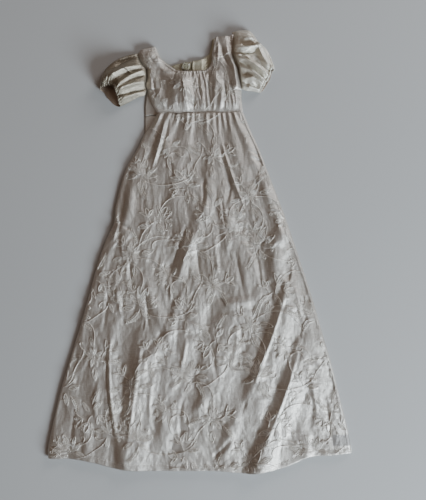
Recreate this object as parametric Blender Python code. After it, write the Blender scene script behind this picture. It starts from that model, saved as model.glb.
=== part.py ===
"""A doll's regency gown laid flat on its back: high waist, square neck, short puff sleeves,
long skirt, and an open centre back with one snap.

+X is to the wearer's left, +Y runs from the hem to the neck and +Z is up from the table.
The origin is on the table, under the middle of the gown's box. Tables are in millimetres.
Every piece of cloth is a wall: an outer face worked out from outlines and folds, and an
inner face one wall's thickness below it.
"""

import math
from collections import namedtuple

import bpy
import numpy as np

MM = 0.001

# Driving sizes, in millimetres
WALL = 1.0
SEAM_GAP = 0.3
BACK_TOP = WALL
FRONT_TOP = BACK_TOP + SEAM_GAP + WALL
EDGE_EASE = 9.0
ARMHOLE_EASE = 4.0
ARMHOLE_Y = 122.0
SKIRT_BILLOW = 0.7
BODICE_FULLNESS = 1.7
WAIST_Y = 103.0
CHEST_RISE = 13.0
SHOULDER_Y = 145.0
SHOULDER_FALL = 12.0
NECK_FULLNESS = 0.2
NECK_EASE = 9.0
STRAP_EASE = 2.5
STRAP_Y = 138.0
STRAP_REACH = 9.0
NECK_SAMPLES = 161
HEM_INSET = 1.0
BACK_OPENING_X = -7.0

# Meshing: columns across and rows along each piece
SKIRT_COLUMNS = 44
GATHER_ROWS = 6
GATHER_DEPTH = 0.115
SKIRT_ROWS = 30
BODICE_COLUMNS = (7, 20, 9)
BODICE_ROWS = 11
STRAP_ROWS = 6
SKIRT_BACK_COLUMNS = 10
SKIRT_BACK_ROWS = 14
BACK_STRAP_COLUMNS = 4
BACK_NECK_COLUMNS = 5
BACK_BODICE_ROWS = 8
BACK_STRAP_ROWS = 5
SLEEVE_TOP_POINTS = 30
SLEEVE_FLOOR_POINTS = 9
SLEEVE_RINGS = 13
FOLD_SAMPLES = 41
PLAN_DIGITS = 3
SLOPE_STEP = 0.05
SHARP_ANGLE = 50.0

Finish = namedtuple("Finish", "red green blue roughness metallic")
CREAM_SILK = Finish(0.64, 0.55, 0.46, 0.55, 0.0)
SNAP_FINISH = Finish(0.62, 0.58, 0.44, 0.30, 0.0)

# Outlines seen from above, x and y, each as few points of one smooth curve
SKIRT_LEFT = ((-43.6, 86.9), (-49.6, 74.2), (-56.8, 61.5), (-61.3, 48.2), (-65.8, 27.8),
              (-66.6, 16.2), (-72.9, 2.3), (-78.7, -15.3), (-84.3, -37.4), (-91.7, -65.2),
              (-98.7, -89.1), (-104.6, -109.7), (-109.3, -131.7), (-113.2, -153.4),
              (-112.9, -159.9))
SKIRT_RIGHT = ((33.3, 104.7), (38.7, 90.9), (45.6, 75.0), (53.9, 52.9), (65.2, 22.4),
               (75.5, -9.2), (85.7, -41.9), (92.5, -66.7), (99.2, -90.6), (105.4, -117.1),
               (110.6, -139.7), (113.2, -155.6))
HEM = ((-112.9, -159.9), (-92.3, -160.3), (-77.0, -163.0), (-64.1, -166.4), (-44.1, -168.2),
       (-18.2, -168.5), (15.0, -168.7), (34.9, -170.3), (46.0, -169.2), (59.4, -166.7),
       (72.0, -162.1), (79.4, -158.8), (96.5, -157.4), (113.2, -155.6))
FRONT_WAIST = ((-33.9, 103.3), (-22.2, 103.3), (-8.1, 102.9), (3.6, 103.3), (22.3, 103.7),
               (33.3, 104.8))
BACK_WAIST = ((-43.3, 101.4), (-34.7, 102.1), (-7.0, 103.0), (3.6, 103.3), (22.3, 103.7),
              (33.3, 104.8))

# The side seam rolls onto the front at the left of the waist, so the front starts inside
FRONT_ROLLED_SIDE = ((-33.9, 103.2), (-38.5, 94.1))
BACK_STRAIGHT_SIDE = ((-43.3, 101.3), (-43.4, 94.1))

FRONT_SIDE_LEFT = ((-33.9, 103.4), (-37.9, 110.1), (-39.9, 115.7), (-41.9, 122.2),
                   (-43.0, 125.6), (-42.0, 131.1), (-42.5, 138.4))
FRONT_SIDE_RIGHT = ((33.3, 105.0), (32.5, 113.3), (32.2, 123.0), (31.8, 127.0),
                    (30.7, 133.5), (29.5, 140.0))
NECK_FLOOR = ((-19.3, 137.6), (-13.8, 137.2), (-4.3, 137.5), (3.5, 138.0))
STRAP_LEFT_OUTER = ((-42.5, 138.4), (-45.3, 142.1), (-47.7, 146.5), (-49.3, 151.8))
STRAP_LEFT_NECK = ((-19.3, 137.6), (-22.4, 140.0), (-27.2, 143.3), (-31.2, 147.4),
                   (-33.6, 151.4), (-35.6, 156.8))
SHOULDER_LEFT = ((-49.3, 151.8), (-47.0, 153.9), (-41.5, 155.5), (-35.6, 156.8))
STRAP_RIGHT_NECK = ((3.5, 138.0), (6.7, 140.4), (8.7, 145.7), (9.0, 151.4), (10.2, 158.0),
                    (11.0, 164.5))
STRAP_RIGHT_OUTER = ((29.5, 140.0), (27.2, 145.7), (26.0, 149.8), (25.6, 156.3),
                     (26.0, 162.1), (26.1, 167.2))
SHOULDER_RIGHT = ((11.0, 164.5), (17.0, 165.0), (21.7, 165.4), (26.1, 167.2))

BACK_SIDE_LEFT = ((-43.3, 101.7), (-43.4, 109.3), (-42.7, 115.7), (-41.9, 122.2),
                  (-43.0, 125.6), (-42.0, 131.1), (-42.5, 138.4), (-45.3, 142.1))
BACK_SIDE_RIGHT = ((33.3, 105.1), (32.5, 113.3), (32.2, 123.0), (31.8, 127.0),
                   (30.7, 133.5), (29.5, 140.0), (27.2, 145.7), (26.0, 149.8))
BACK_NECK_LEFT = ((-23.2, 141.6), (-18.5, 143.3), (-7.0, 145.1))
BACK_NECK_RIGHT = ((-7.0, 145.1), (-0.4, 146.5), (3.5, 149.0))
BACK_STRAP_LEFT_OUTER = ((-45.3, 142.1), (-47.7, 146.5), (-49.3, 151.8))
BACK_STRAP_LEFT_NECK = ((-23.2, 141.6), (-27.2, 144.1), (-32.0, 149.0), (-35.6, 156.8))
BACK_STRAP_RIGHT_NECK = ((3.5, 149.0), (6.7, 151.8), (8.3, 156.3), (9.8, 164.4))
BACK_STRAP_RIGHT_OUTER = ((26.0, 149.8), (25.6, 156.3), (26.0, 162.1), (26.1, 167.2))
BACK_SHOULDER_RIGHT = ((9.8, 164.4), (17.0, 165.0), (21.7, 165.4), (26.1, 167.2))

# A fold is a soft ridge along a curve through three points, or a trough where its rise is
# negative. Its flank to the west, or to the right of someone who walks it from its first
# point, has a width at each end, and the other flank has one.
Fold = namedtuple("Fold", "x0 y0 x1 y1 x2 y2 west_up west_low east up middle low")

Sleeve = namedtuple("Sleeve", "name armhole upper lower mouth_front mouth_back heights folds")
LEFT_SLEEVE = Sleeve(
    name="sleeve_left",
    armhole=((-49.7, 151.7), (-48.1, 146.4), (-45.7, 141.9), (-42.9, 138.3), (-42.4, 131.1),
             (-43.4, 125.6), (-42.3, 122.0)),
    upper=((-49.7, 151.7), (-56.4, 150.2), (-63.5, 147.8), (-71.3, 142.5), (-75.9, 136.8),
           (-78.5, 129.5), (-79.2, 122.2)),
    lower=((-42.3, 122.0), (-43.7, 117.6), (-48.9, 115.7), (-56.7, 111.3), (-63.3, 108.1)),
    mouth_front=((-79.2, 122.2), (-74.9, 123.0), (-69.3, 123.2), (-66.7, 121.0),
                 (-65.8, 117.3), (-64.5, 112.5), (-63.3, 108.1)),
    mouth_back=((-79.2, 122.2), (-75.6, 119.6), (-73.2, 115.7), (-70.8, 113.3),
                (-67.6, 110.1), (-63.3, 108.1)),
    heights=(2.2, 5.2, 7.2, 7.4, 5.8),
    folds=(Fold(-41.5, 142.0, -58.0, 137.0, -74.0, 127.5, 10.0, 7.0, 4.2, 1.4, 3.0, 1.6),
           Fold(-47.5, 147.5, -60.0, 144.0, -73.0, 134.0, 3.0, 3.0, 3.0, -0.2, -1.0, -0.5),
           Fold(-41.0, 137.2, -54.0, 131.0, -66.0, 121.0, 3.6, 3.2, 3.2, 1.3, 2.0, 1.5),
           Fold(-41.0, 128.6, -53.1, 124.4, -66.0, 118.4, 5.5, 3.8, 3.4, 1.3, 2.7, 1.7),
           Fold(-43.0, 119.6, -54.0, 115.6, -65.0, 111.0, 3.5, 3.5, 5.0, 0.6, 1.5, 1.0)))

RIGHT_SLEEVE = Sleeve(
    name="sleeve_right",
    armhole=((26.5, 169.6), (26.3, 162.1), (25.9, 156.3), (26.3, 149.9), (27.5, 145.8),
             (29.8, 140.1), (31.0, 133.5), (32.1, 127.0), (32.6, 122.7)),
    upper=((26.5, 169.6), (31.2, 170.3), (39.1, 169.8), (46.2, 160.6), (50.9, 156.3),
           (54.8, 149.8), (57.5, 142.5), (58.6, 138.6)),
    lower=((32.6, 122.7), (36.5, 121.0), (40.4, 120.6), (46.7, 119.4)),
    mouth_front=((58.6, 138.6), (55.9, 136.4), (54.6, 131.1), (51.8, 126.2), (49.3, 122.2),
                 (46.7, 119.4)),
    mouth_back=((58.6, 138.6), (56.3, 136.0), (54.9, 131.1), (52.0, 126.2), (49.5, 122.2),
                (46.7, 119.4)),
    heights=(3.4, 5.0, 5.7, 5.5, 4.4),
    folds=(Fold(26.0, 164.0, 36.0, 163.6, 45.0, 160.0, 5.0, 5.5, 5.0, 1.0, 2.2, 1.0),
           Fold(25.0, 154.9, 36.4, 153.2, 48.0, 156.6, 4.2, 3.8, 3.6, 1.5, 2.7, 1.8),
           Fold(27.0, 147.0, 41.0, 140.2, 56.0, 128.6, 3.8, 3.4, 3.6, 1.7, 2.8, 1.7),
           Fold(30.0, 139.8, 42.0, 133.6, 53.5, 124.8, 3.6, 3.4, 3.4, 1.4, 2.3, 1.6),
           Fold(31.5, 130.2, 41.5, 129.2, 51.0, 122.6, 3.6, 3.2, 3.4, 1.2, 2.2, 1.4),
           Fold(45.0, 157.6, 48.6, 146.8, 56.0, 135.0, 4.6, 3.8, 6.0, 1.5, 3.0, 1.5),
           Fold(51.6, 152.6, 54.4, 146.0, 57.0, 139.0, 2.8, 2.8, 2.8, -0.4, -1.5, -0.5)))

SLEEVE_EDGE_Z = 2.0
SLEEVE_WALL = 1.2
SLEEVE_EDGE_SHARE = 0.07
DOME_SIDES = 2.6
DOME_CROWN = 0.6
FLOOR_FLATNESS = 1.3

SKIRT_FOLDS = (
    Fold(66.9, -30.6, 52.8, -73.5, 36.7, -115.6, 5.0, 7.0, 17.0, 1.2, 2.6, 1.0),
    Fold(75.4, -72.7, 62.9, -114.1, 41.4, -172.0, 4.0, 12.0, 16.0, 0.8, 2.5, 4.2),
    Fold(-43.0, -69.0, -48.5, -111.2, -55.2, -169.0, 8.0, 11.0, 20.0, 0.9, 2.8, 3.2),
    Fold(-65.7, -61.5, -67.3, -106.1, -57.5, -160.0, 4.5, 5.0, 9.0, 0.5, 1.3, 1.2),
    Fold(-41.9, -30.6, -32.6, -51.0, -22.6, -68.2, 5.5, 6.5, 7.0, 0.5, 1.2, 1.0),
    Fold(-9.9, -30.6, -18.9, -54.0, -24.1, -66.7, 5.5, 5.5, 7.0, 0.5, 1.2, 0.8),
    Fold(-23.3, -70.5, -33.8, -80.9, -44.2, -93.5, 6.0, 6.0, 8.0, 0.8, 1.2, 0.7),
    Fold(2.1, 24.7, -9.3, -4.6, -19.0, -36.6, 8.0, 8.0, 10.0, 0.8, 2.0, 0.9),
    Fold(16.8, 41.9, 18.3, 14.7, 22.1, -4.6, 5.0, 5.0, 11.0, 0.7, 1.8, 0.7),
    Fold(-21.2, 73.4, -21.1, 45.8, -22.5, 24.7, 7.0, 7.0, 10.0, 0.6, 1.6, 0.6),
    Fold(5.2, 56.0, 6.0, 38.0, 2.9, 22.4, 6.0, 6.0, 8.0, 0.5, 1.4, 0.8),
    Fold(46.5, 59.2, 64.5, 26.0, 60.5, 3.1, 14.0, 14.0, 7.0, 0.9, 2.6, 1.4),
    Fold(62.5, 6.2, 57.4, -13.8, 60.2, -39.7, 9.0, 9.0, 10.0, 1.1, 2.0, 1.2),
    Fold(30.9, 97.3, 37.2, 81.3, 40.5, 63.9, 7.0, 7.0, 7.0, 0.7, 1.7, 0.7),
    Fold(-56.0, 43.0, -55.6, 27.8, -59.6, 15.4, 4.0, 4.0, 7.0, 0.8, 1.6, 0.8),
    Fold(-59.6, 13.9, -56.0, -0.8, -52.7, -13.8, 5.0, 5.0, 7.0, 0.8, 1.3, 0.5),
    Fold(-64.6, 12.3, -70.4, -4.6, -76.5, -23.7, 4.5, 4.5, 6.0, 0.7, 1.1, 0.5),
    Fold(92.0, -73.5, 96.0, -87.6, 97.5, -102.4, 4.5, 4.5, 6.0, 0.4, 0.9, 0.4),
    Fold(78.2, -142.6, 79.5, -152.0, 79.4, -162.0, 5.5, 5.5, 7.0, 0.3, 0.9, 1.1),
    Fold(5.4, -112.7, 0.1, -120.7, -3.6, -128.0, 5.5, 5.5, 7.0, 0.4, 1.1, 0.5),
    Fold(-26.0, -124.4, -26.6, -137.5, -28.7, -149.8, 7.0, 7.0, 9.0, 0.3, 1.1, 0.5),
    Fold(28.5, -120.7, 24.0, -138.9, 18.0, -154.9, 7.0, 7.0, 7.0, 0.3, 1.2, 0.6),
    Fold(-84.7, -133.9, -83.7, -146.2, -83.5, -160.0, 5.0, 5.0, 7.0, 0.3, 0.9, 0.9),
    Fold(13.6, -47.2, 28.8, -44.9, 42.5, -41.2, 5.5, 5.5, 5.5, 0.3, 0.8, 0.3),
)

# A gather is a narrow ridge that starts in the waist seam and fades where it ends
Gather = namedtuple("Gather", "x y end_x end_y half_width rise")
GATHER_HEAD = 0.12
GATHER_START = 0.35
GATHER_TAIL = 0.75
SKIRT_GATHERS = (
    Gather(-31.0, 102.8, -43.6, 74.2, 3.2, 1.3),
    Gather(-24.9, 102.9, -39.7, 57.6, 2.6, 1.3),
    Gather(-16.3, 102.9, -25.2, 81.3, 2.9, 1.2),
    Gather(-10.2, 102.6, -12.7, 84.5, 2.0, 0.9),
    Gather(-6.0, 102.6, -8.1, 79.3, 1.9, 1.0),
    Gather(-1.8, 102.8, -3.4, 87.7, 1.9, 0.8),
    Gather(5.2, 103.0, 4.4, 76.9, 2.8, 1.1),
    Gather(9.8, 103.1, 10.6, 86.1, 1.9, 0.9),
    Gather(13.7, 103.2, 15.3, 78.3, 1.9, 1.0),
    Gather(17.5, 103.3, 20.0, 84.7, 1.8, 0.9),
    Gather(21.4, 103.4, 24.8, 80.9, 1.9, 1.0),
    Gather(25.9, 103.8, 30.9, 86.1, 2.3, 1.0),
)
BODICE_GATHERS = (
    Gather(-33.6, 104.6, -38.1, 131.1, 3.2, 0.8),
    Gather(-27.7, 104.3, -29.4, 121.4, 2.6, 0.7),
    Gather(-19.9, 104.2, -20.8, 125.0, 3.0, 0.8),
    Gather(-11.3, 103.8, -12.6, 136.8, 3.4, 1.3),
    Gather(-6.2, 103.8, -7.4, 129.5, 2.2, 0.9),
    Gather(2.0, 104.0, -0.4, 136.8, 3.0, 1.1),
    Gather(6.3, 104.1, 4.6, 131.1, 2.0, 0.9),
    Gather(10.6, 104.2, 11.6, 136.3, 2.2, 1.1),
    Gather(15.9, 104.3, 16.9, 129.5, 2.4, 1.0),
    Gather(20.8, 104.4, 21.9, 127.8, 2.3, 1.1),
    Gather(27.4, 104.9, 24.8, 126.2, 3.0, 1.2),
)
BODICE_FOLDS = (
    Fold(-13.6, 137.0, -12.0, 121.0, -10.5, 104.5, 20.0, 20.0, 6.5, 1.6, 4.6, 2.4),
    Fold(27.5, 143.0, 29.5, 129.0, 28.5, 108.0, 10.0, 5.0, 6.0, 2.0, 3.4, 1.4),
    Fold(18.5, 165.5, 23.5, 151.0, 29.5, 138.0, 5.0, 8.0, 4.0, 0.6, 1.5, 1.2),
    Fold(11.0, 133.0, 13.5, 124.0, 14.5, 108.0, 4.5, 4.5, 6.0, 0.6, 1.8, 0.8),
    Fold(-44.5, 152.0, -38.0, 146.0, -30.0, 142.0, 5.0, 5.0, 6.0, 0.5, 1.3, 0.6),
)

# The snap: a socket on the left back's inner face, a ball on the right back's outer face
Snap = namedtuple("Snap", "name x y floor profile")
SNAP_RADIUS = 3.5
SNAP_THICKNESS = 0.8
SNAP_SIDES = 28
SNAP_CLEARANCE = 4.2
SNAP_FADE = 4.5
SOCKET = Snap("snap_socket", -11.8, 141.2, BACK_TOP + SEAM_GAP,
              ((3.5, 0.0), (3.5, 0.35), (3.1, 0.6), (2.3, 0.6), (1.9, 0.8), (1.2, 0.8),
               (1.0, 0.3), (0.0, 0.3)))
BALL = Snap("snap_ball", -2.4, 141.0, 0.0,
            ((2.9, 0.0), (3.4, 0.2), (3.5, 0.5), (3.2, 0.8), (0.0, 0.8)))


def curve(points):
    """A smooth curve through a table's points, read at shares 0 to 1 of its length."""
    knots = np.array(points, float)
    steps = np.linalg.norm(np.diff(knots, axis=0), axis=1)
    at = np.concatenate(([0.0], np.cumsum(steps))) / steps.sum()
    slopes = np.empty_like(knots)
    slopes[1:-1] = (knots[2:] - knots[:-2]) / (at[2:] - at[:-2])[:, None]
    slopes[0] = (knots[1] - knots[0]) / (at[1] - at[0])
    slopes[-1] = (knots[-1] - knots[-2]) / (at[-1] - at[-2])

    def read(share):
        share = np.atleast_1d(np.asarray(share, float))
        span = np.clip(np.searchsorted(at, share, side="right") - 1, 0, len(at) - 2)
        width = at[span + 1] - at[span]
        q = ((share - at[span]) / width)[:, None]
        width = width[:, None]
        return ((2 * q**3 - 3 * q**2 + 1) * knots[span] + (q**3 - 2 * q**2 + q) * width * slopes[span]
                + (3 * q**2 - 2 * q**3) * knots[span + 1] + (q**3 - q**2) * width * slopes[span + 1])

    return read


def joined(*parts):
    """One curve made of several, each given with the share at which it ends."""
    def read(share):
        share = np.atleast_1d(np.asarray(share, float))
        points = np.zeros((len(share), 2))
        start = 0.0
        for part, end in parts:
            inside = (share >= start - 1e-9) & (share <= end + 1e-9)
            points[inside] = part((share[inside] - start) / (end - start))
            start = end
        return points

    return read


def patch(left, right, start, end):
    """A sheet between four curves: left and right run along it, start and end across it."""
    def read(along, across):
        along = np.atleast_1d(np.asarray(along, float))
        across = np.atleast_1d(np.asarray(across, float))
        u = along[:, None]
        v = across[:, None]
        corners = ((1 - u) * (1 - v) * start(0.0) + (1 - u) * v * start(1.0)
                   + u * (1 - v) * end(0.0) + u * v * end(1.0))
        return ((1 - v) * left(along) + v * right(along)
                + (1 - u) * start(across) + u * end(across) - corners)

    return read


def smooth(value):
    """Zero to one with level ends."""
    q = np.clip(value, 0.0, 1.0)
    return q * q * (3 - 2 * q)


def bump(value):
    """One at zero, level there, and nothing from one on."""
    q = np.clip(np.abs(value), 0.0, 1.0)
    return (1 - q * q) ** 2


def fold_rise(folds, x, y):
    """How far the folds lift the cloth at points x, y."""
    share = np.linspace(0.0, 1.0, FOLD_SAMPLES)[:, None]
    total = np.zeros_like(x)
    for fold in folds:
        first = np.array((fold.x0, fold.y0))
        middle = np.array((fold.x1, fold.y1))
        last = np.array((fold.x2, fold.y2))
        pull = 2 * middle - (first + last) / 2
        path = (1 - share) ** 2 * first + 2 * share * (1 - share) * pull + share**2 * last
        heading = 2 * (1 - share) * (pull - first) + 2 * share * (last - pull)
        away_x = x[:, None] - path[None, :, 0]
        away_y = y[:, None] - path[None, :, 1]
        distance = away_x**2 + away_y**2
        near = distance.argmin(axis=1)
        each = np.arange(len(x))
        head = heading[near]
        off_x = away_x[each, near]
        off_y = away_y[each, near]
        ahead = (off_x * head[:, 0] + off_y * head[:, 1]) / np.hypot(head[:, 0], head[:, 1])
        inner = (near > 0) & (near < len(share) - 1)
        squared = distance[each, near] - np.where(inner, ahead**2, 0.0)
        distance = np.sqrt(np.maximum(squared, 0.0))
        east = head[:, 0] * off_y - head[:, 1] * off_x > 0
        s = share[near, 0]
        west_width = fold.west_up + (fold.west_low - fold.west_up) * s
        width = np.where(east, fold.east, west_width)
        rise = ((1 - s) * (1 - 2 * s) * fold.up + 4 * s * (1 - s) * fold.middle
                + s * (2 * s - 1) * fold.low)
        total += rise * bump(distance / width)
    return total


def gather_rise(gathers, x, y):
    """How far the gathers lift the cloth at points x, y."""
    total = np.zeros_like(x)
    for gather in gathers:
        length = gather.end_y - gather.y
        s = (y - gather.y) / length
        centre = gather.x + (gather.end_x - gather.x) * np.clip(s, 0.0, 1.0)
        fade = smooth(s / GATHER_HEAD + GATHER_START) * smooth((1.0 - s) / GATHER_TAIL)
        total += gather.rise * fade * bump((x - centre) / gather.half_width)
    return total


def outline_x(points, y):
    """The x of an outline at each y."""
    table = np.array(sorted(points, key=lambda point: point[1]))
    return np.interp(y, table[:, 1], table[:, 0])


def skirt_front_top(x, y):
    """Height of the front skirt's outer face."""
    from_left = x - outline_x(FRONT_ROLLED_SIDE + SKIRT_LEFT, y)
    from_right = outline_x(SKIRT_RIGHT, y) - x
    inside = smooth(np.minimum(from_left, from_right) / EDGE_EASE)
    rise = SKIRT_BILLOW + fold_rise(SKIRT_FOLDS, x, y)
    return FRONT_TOP + inside * rise + smooth(inside * 2) * gather_rise(SKIRT_GATHERS, x, y)


def neck_share(x, y):
    """How much of the bodice's fullness is left near its neck line, as a share."""
    line = curve(STRAP_LEFT_NECK[::-1] + NECK_FLOOR[1:] + STRAP_RIGHT_NECK[1:])
    path = line(np.linspace(0.0, 1.0, NECK_SAMPLES))
    away = np.hypot(x[..., None] - path[:, 0], y[..., None] - path[:, 1]).min(axis=-1)
    ease = NECK_EASE + (STRAP_EASE - NECK_EASE) * smooth((y - STRAP_Y) / STRAP_REACH)
    return NECK_FULLNESS + (1 - NECK_FULLNESS) * smooth(away / ease)


def bodice_front_top(x, y):
    """Height of the front bodice's outer face, full over the chest and low at its seams."""
    from_left = x - outline_x(FRONT_SIDE_LEFT + STRAP_LEFT_OUTER, y)
    from_right = outline_x(FRONT_SIDE_RIGHT + STRAP_RIGHT_OUTER, y) - x
    ease = np.where(y > ARMHOLE_Y, ARMHOLE_EASE, EDGE_EASE)
    inside = smooth(np.minimum(from_left, from_right) / ease)
    over_waist = smooth((y - WAIST_Y) / CHEST_RISE)
    shoulder = 1 - smooth((y - SHOULDER_Y) / SHOULDER_FALL)
    rise = SKIRT_BILLOW + BODICE_FULLNESS * over_waist * shoulder + fold_rise(BODICE_FOLDS, x, y)
    gathered = smooth(inside * 2) * gather_rise(BODICE_GATHERS, x, y)
    return FRONT_TOP + neck_share(x, y) * (inside * rise + gathered)


def back_top(x, y):
    """Height of the back's upper face: level on the table."""
    return np.full_like(x, BACK_TOP)


def back_right_top(x, y):
    """The right back is level but for the place where it lies on the ball of the snap."""
    away = np.hypot(x - BALL.x, y - BALL.y)
    lifted = 1 - smooth((away - SNAP_CLEARANCE) / SNAP_FADE)
    return BACK_TOP + (SNAP_THICKNESS + SEAM_GAP) * lifted


def table_top(x, y):
    """What the level back lies on."""
    return np.zeros_like(x)


def under_back_right(x, y):
    """The lowest the right back may reach: the table, and the ball where it lies on it."""
    return back_right_top(x, y) - WALL


def under_front(x, y):
    """The lowest the front may reach: just over the backs and the socket of the snap."""
    over_socket = np.hypot(x - SOCKET.x, y - SOCKET.y) < SNAP_CLEARANCE
    socket_top = SOCKET.floor + SNAP_THICKNESS
    return np.maximum(back_right_top(x, y), np.where(over_socket, socket_top, 0.0)) + SEAM_GAP


def slope_length(top, x, y):
    """Length of the outer face's normal over its height: 1 where the cloth is level."""
    along_x = (top(x + SLOPE_STEP, y) - top(x - SLOPE_STEP, y)) / (2 * SLOPE_STEP)
    along_y = (top(x, y + SLOPE_STEP) - top(x, y - SLOPE_STEP)) / (2 * SLOPE_STEP)
    return np.sqrt(1 + along_x**2 + along_y**2)


def material(name, finish):
    """One plain finish."""
    mat = bpy.data.materials.new(name)
    mat.use_nodes = True
    shader = mat.node_tree.nodes["Principled BSDF"]
    shader.inputs["Base Color"].default_value = (finish.red, finish.green, finish.blue, 1.0)
    shader.inputs["Roughness"].default_value = finish.roughness
    shader.inputs["Metallic"].default_value = finish.metallic
    mat.diffuse_color = (finish.red, finish.green, finish.blue, 1.0)
    return mat


def add_object(name, points, faces, finish):
    """A named object from points in millimetres."""
    mesh = bpy.data.meshes.new(name)
    mesh.from_pydata([tuple(value * MM for value in point) for point in points], [], faces)
    mesh.materials.append(material(name, finish))
    mesh.shade_smooth()
    mesh.set_sharp_from_angle(angle=math.radians(SHARP_ANGLE))
    obj = bpy.data.objects.new(name, mesh)
    bpy.context.scene.collection.objects.link(obj)
    return obj


def wall(name, plan, faces, top, carrier):
    """A wall of cloth over plan points: outer face, inner face on what carries it, edges."""
    x = plan[:, 0]
    y = plan[:, 1]
    lowest = carrier(x, y)
    outer = np.maximum(top(x, y), lowest + WALL)
    inner = np.maximum(outer - WALL * slope_length(top, x, y), lowest)
    count = len(plan)
    points = [(x[i], y[i], outer[i]) for i in range(count)]
    points += [(x[i], y[i], inner[i]) for i in range(count)]
    sides = {}
    for face in faces:
        for a, b in zip(face, face[1:] + face[:1]):
            sides[(a, b)] = (b, a) not in sides
            if not sides[(a, b)]:
                sides[(b, a)] = False
    shell = [tuple(face) for face in faces]
    shell += [tuple(count + corner for corner in reversed(face)) for face in faces]
    shell += [(b, a, count + a, count + b) for (a, b), open_side in sides.items() if open_side]
    return add_object(name, points, shell, CREAM_SILK)


class Plan:
    """Points seen from above and the faces between them, shared where blocks meet."""

    def __init__(self):
        self.points = []
        self.faces = []
        self.known = {}

    def point(self, xy):
        key = (round(float(xy[0]), PLAN_DIGITS), round(float(xy[1]), PLAN_DIGITS))
        if key not in self.known:
            self.known[key] = len(self.points)
            self.points.append((float(xy[0]), float(xy[1])))
        return self.known[key]

    def row(self, sheet, along, count):
        """One row of points across a sheet."""
        across = np.linspace(0.0, 1.0, count + 1)
        return [self.point(xy) for xy in sheet(np.full(count + 1, along), across)]

    def block(self, sheet, shares, count):
        """Quads over a sheet, with a row at each share; the rows are given back."""
        rows = [self.row(sheet, along, count) for along in shares]
        for upper, lower in zip(rows, rows[1:]):
            for i in range(count):
                self.faces.append([upper[i], lower[i], lower[i + 1], upper[i + 1]])
        return rows

    def coarsen(self, fine, coarse):
        """Faces from a fine row down to one with half as many columns."""
        for i in range(len(coarse) - 1):
            self.faces.append([fine[2 * i], coarse[i], coarse[i + 1], fine[2 * i + 2],
                               fine[2 * i + 1]])

    def turned(self):
        """The same faces seen from the other side."""
        self.faces = [list(reversed(face)) for face in self.faces]

    def build(self, name, top, carrier):
        return wall(name, np.array(self.points), self.faces, top, carrier)


def shifted(points, dx, dy):
    return tuple((x + dx, y + dy) for x, y in points)


def skirt_front():
    """The front of the skirt, with closer columns where it is gathered."""
    waist = shifted(FRONT_WAIST, 0.0, -SEAM_GAP / 2)
    left = curve((waist[0],) + FRONT_ROLLED_SIDE[1:] + SKIRT_LEFT)
    right = curve((waist[-1],) + SKIRT_RIGHT[1:])
    sheet = patch(left, right, curve(waist), curve(HEM))
    plan = Plan()
    gathered = np.linspace(0.0, GATHER_DEPTH, GATHER_ROWS)
    step = (1.0 - GATHER_DEPTH) / SKIRT_ROWS
    fine = plan.block(sheet, gathered, 2 * SKIRT_COLUMNS)
    coarse = plan.block(sheet, np.linspace(GATHER_DEPTH + step, 1.0, SKIRT_ROWS), SKIRT_COLUMNS)
    plan.coarsen(fine[-1], coarse[0])
    plan.build("skirt_front", skirt_front_top, under_front)


def skirt_backs():
    """The two halves of the skirt's back, which meet in the centre back seam."""
    waist = shifted(BACK_WAIST, 0.0, -SEAM_GAP / 2)
    split = BACK_OPENING_X
    hem = tuple((x, y + HEM_INSET) for x, y in HEM)
    seam_low = (0.0, hem[6][1])
    left_side = (waist[0],) + BACK_STRAIGHT_SIDE[1:] + SKIRT_LEFT[:-1] + (hem[0],)
    right_side = (waist[-1],) + SKIRT_RIGHT[1:-1] + (hem[-1],)
    halves = (
        ("skirt_back_left", left_side, ((split, waist[2][1]), seam_low), waist[:3],
         hem[:6] + (seam_low,), 0.0, -SEAM_GAP / 2),
        ("skirt_back_right", ((split, waist[2][1]), seam_low), right_side,
         waist[2:], (seam_low,) + hem[6:], SEAM_GAP / 2, 0.0),
    )
    for name, left, right, start, end, move_left, move_right in halves:
        start = ((start[0][0] + move_left, start[0][1]),) + start[1:-1] + (
            (start[-1][0] + move_right, start[-1][1]),)
        end = ((end[0][0] + move_left, end[0][1]),) + end[1:-1] + (
            (end[-1][0] + move_right, end[-1][1]),)
        sheet = patch(curve(shifted(left, move_left, 0.0)), curve(shifted(right, move_right, 0.0)),
                      curve(start), curve(end))
        plan = Plan()
        plan.block(sheet, np.linspace(0.0, 1.0, SKIRT_BACK_ROWS), SKIRT_BACK_COLUMNS)
        plan.build(name, back_top, table_top)


def bodice_front():
    """The front of the bodice with its two straps, in one piece."""
    waist = shifted(FRONT_WAIST, 0.0, SEAM_GAP / 2)
    left_count, neck_count, right_count = BODICE_COLUMNS
    count = left_count + neck_count + right_count
    first = left_count / count
    second = (left_count + neck_count) / count
    yoke = joined((curve((FRONT_SIDE_LEFT[-1], NECK_FLOOR[0])), first),
                  (curve(NECK_FLOOR), second),
                  (curve((NECK_FLOOR[-1], FRONT_SIDE_RIGHT[-1])), 1.0))
    sheet = patch(curve((waist[0],) + FRONT_SIDE_LEFT[1:]),
                  curve((waist[-1],) + FRONT_SIDE_RIGHT[1:]), curve(waist), yoke)
    plan = Plan()
    plan.block(sheet, np.linspace(0.0, 1.0, BODICE_ROWS), count)
    strap_shares = np.linspace(0.0, 1.0, STRAP_ROWS)
    strap = patch(curve(STRAP_LEFT_OUTER), curve(STRAP_LEFT_NECK),
                  curve((FRONT_SIDE_LEFT[-1], NECK_FLOOR[0])), curve(SHOULDER_LEFT))
    plan.block(strap, strap_shares, left_count)
    strap = patch(curve(STRAP_RIGHT_NECK), curve(STRAP_RIGHT_OUTER),
                  curve((NECK_FLOOR[-1], FRONT_SIDE_RIGHT[-1])), curve(SHOULDER_RIGHT))
    plan.block(strap, strap_shares, right_count)
    plan.turned()
    plan.build("bodice_front", bodice_front_top, under_front)


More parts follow.
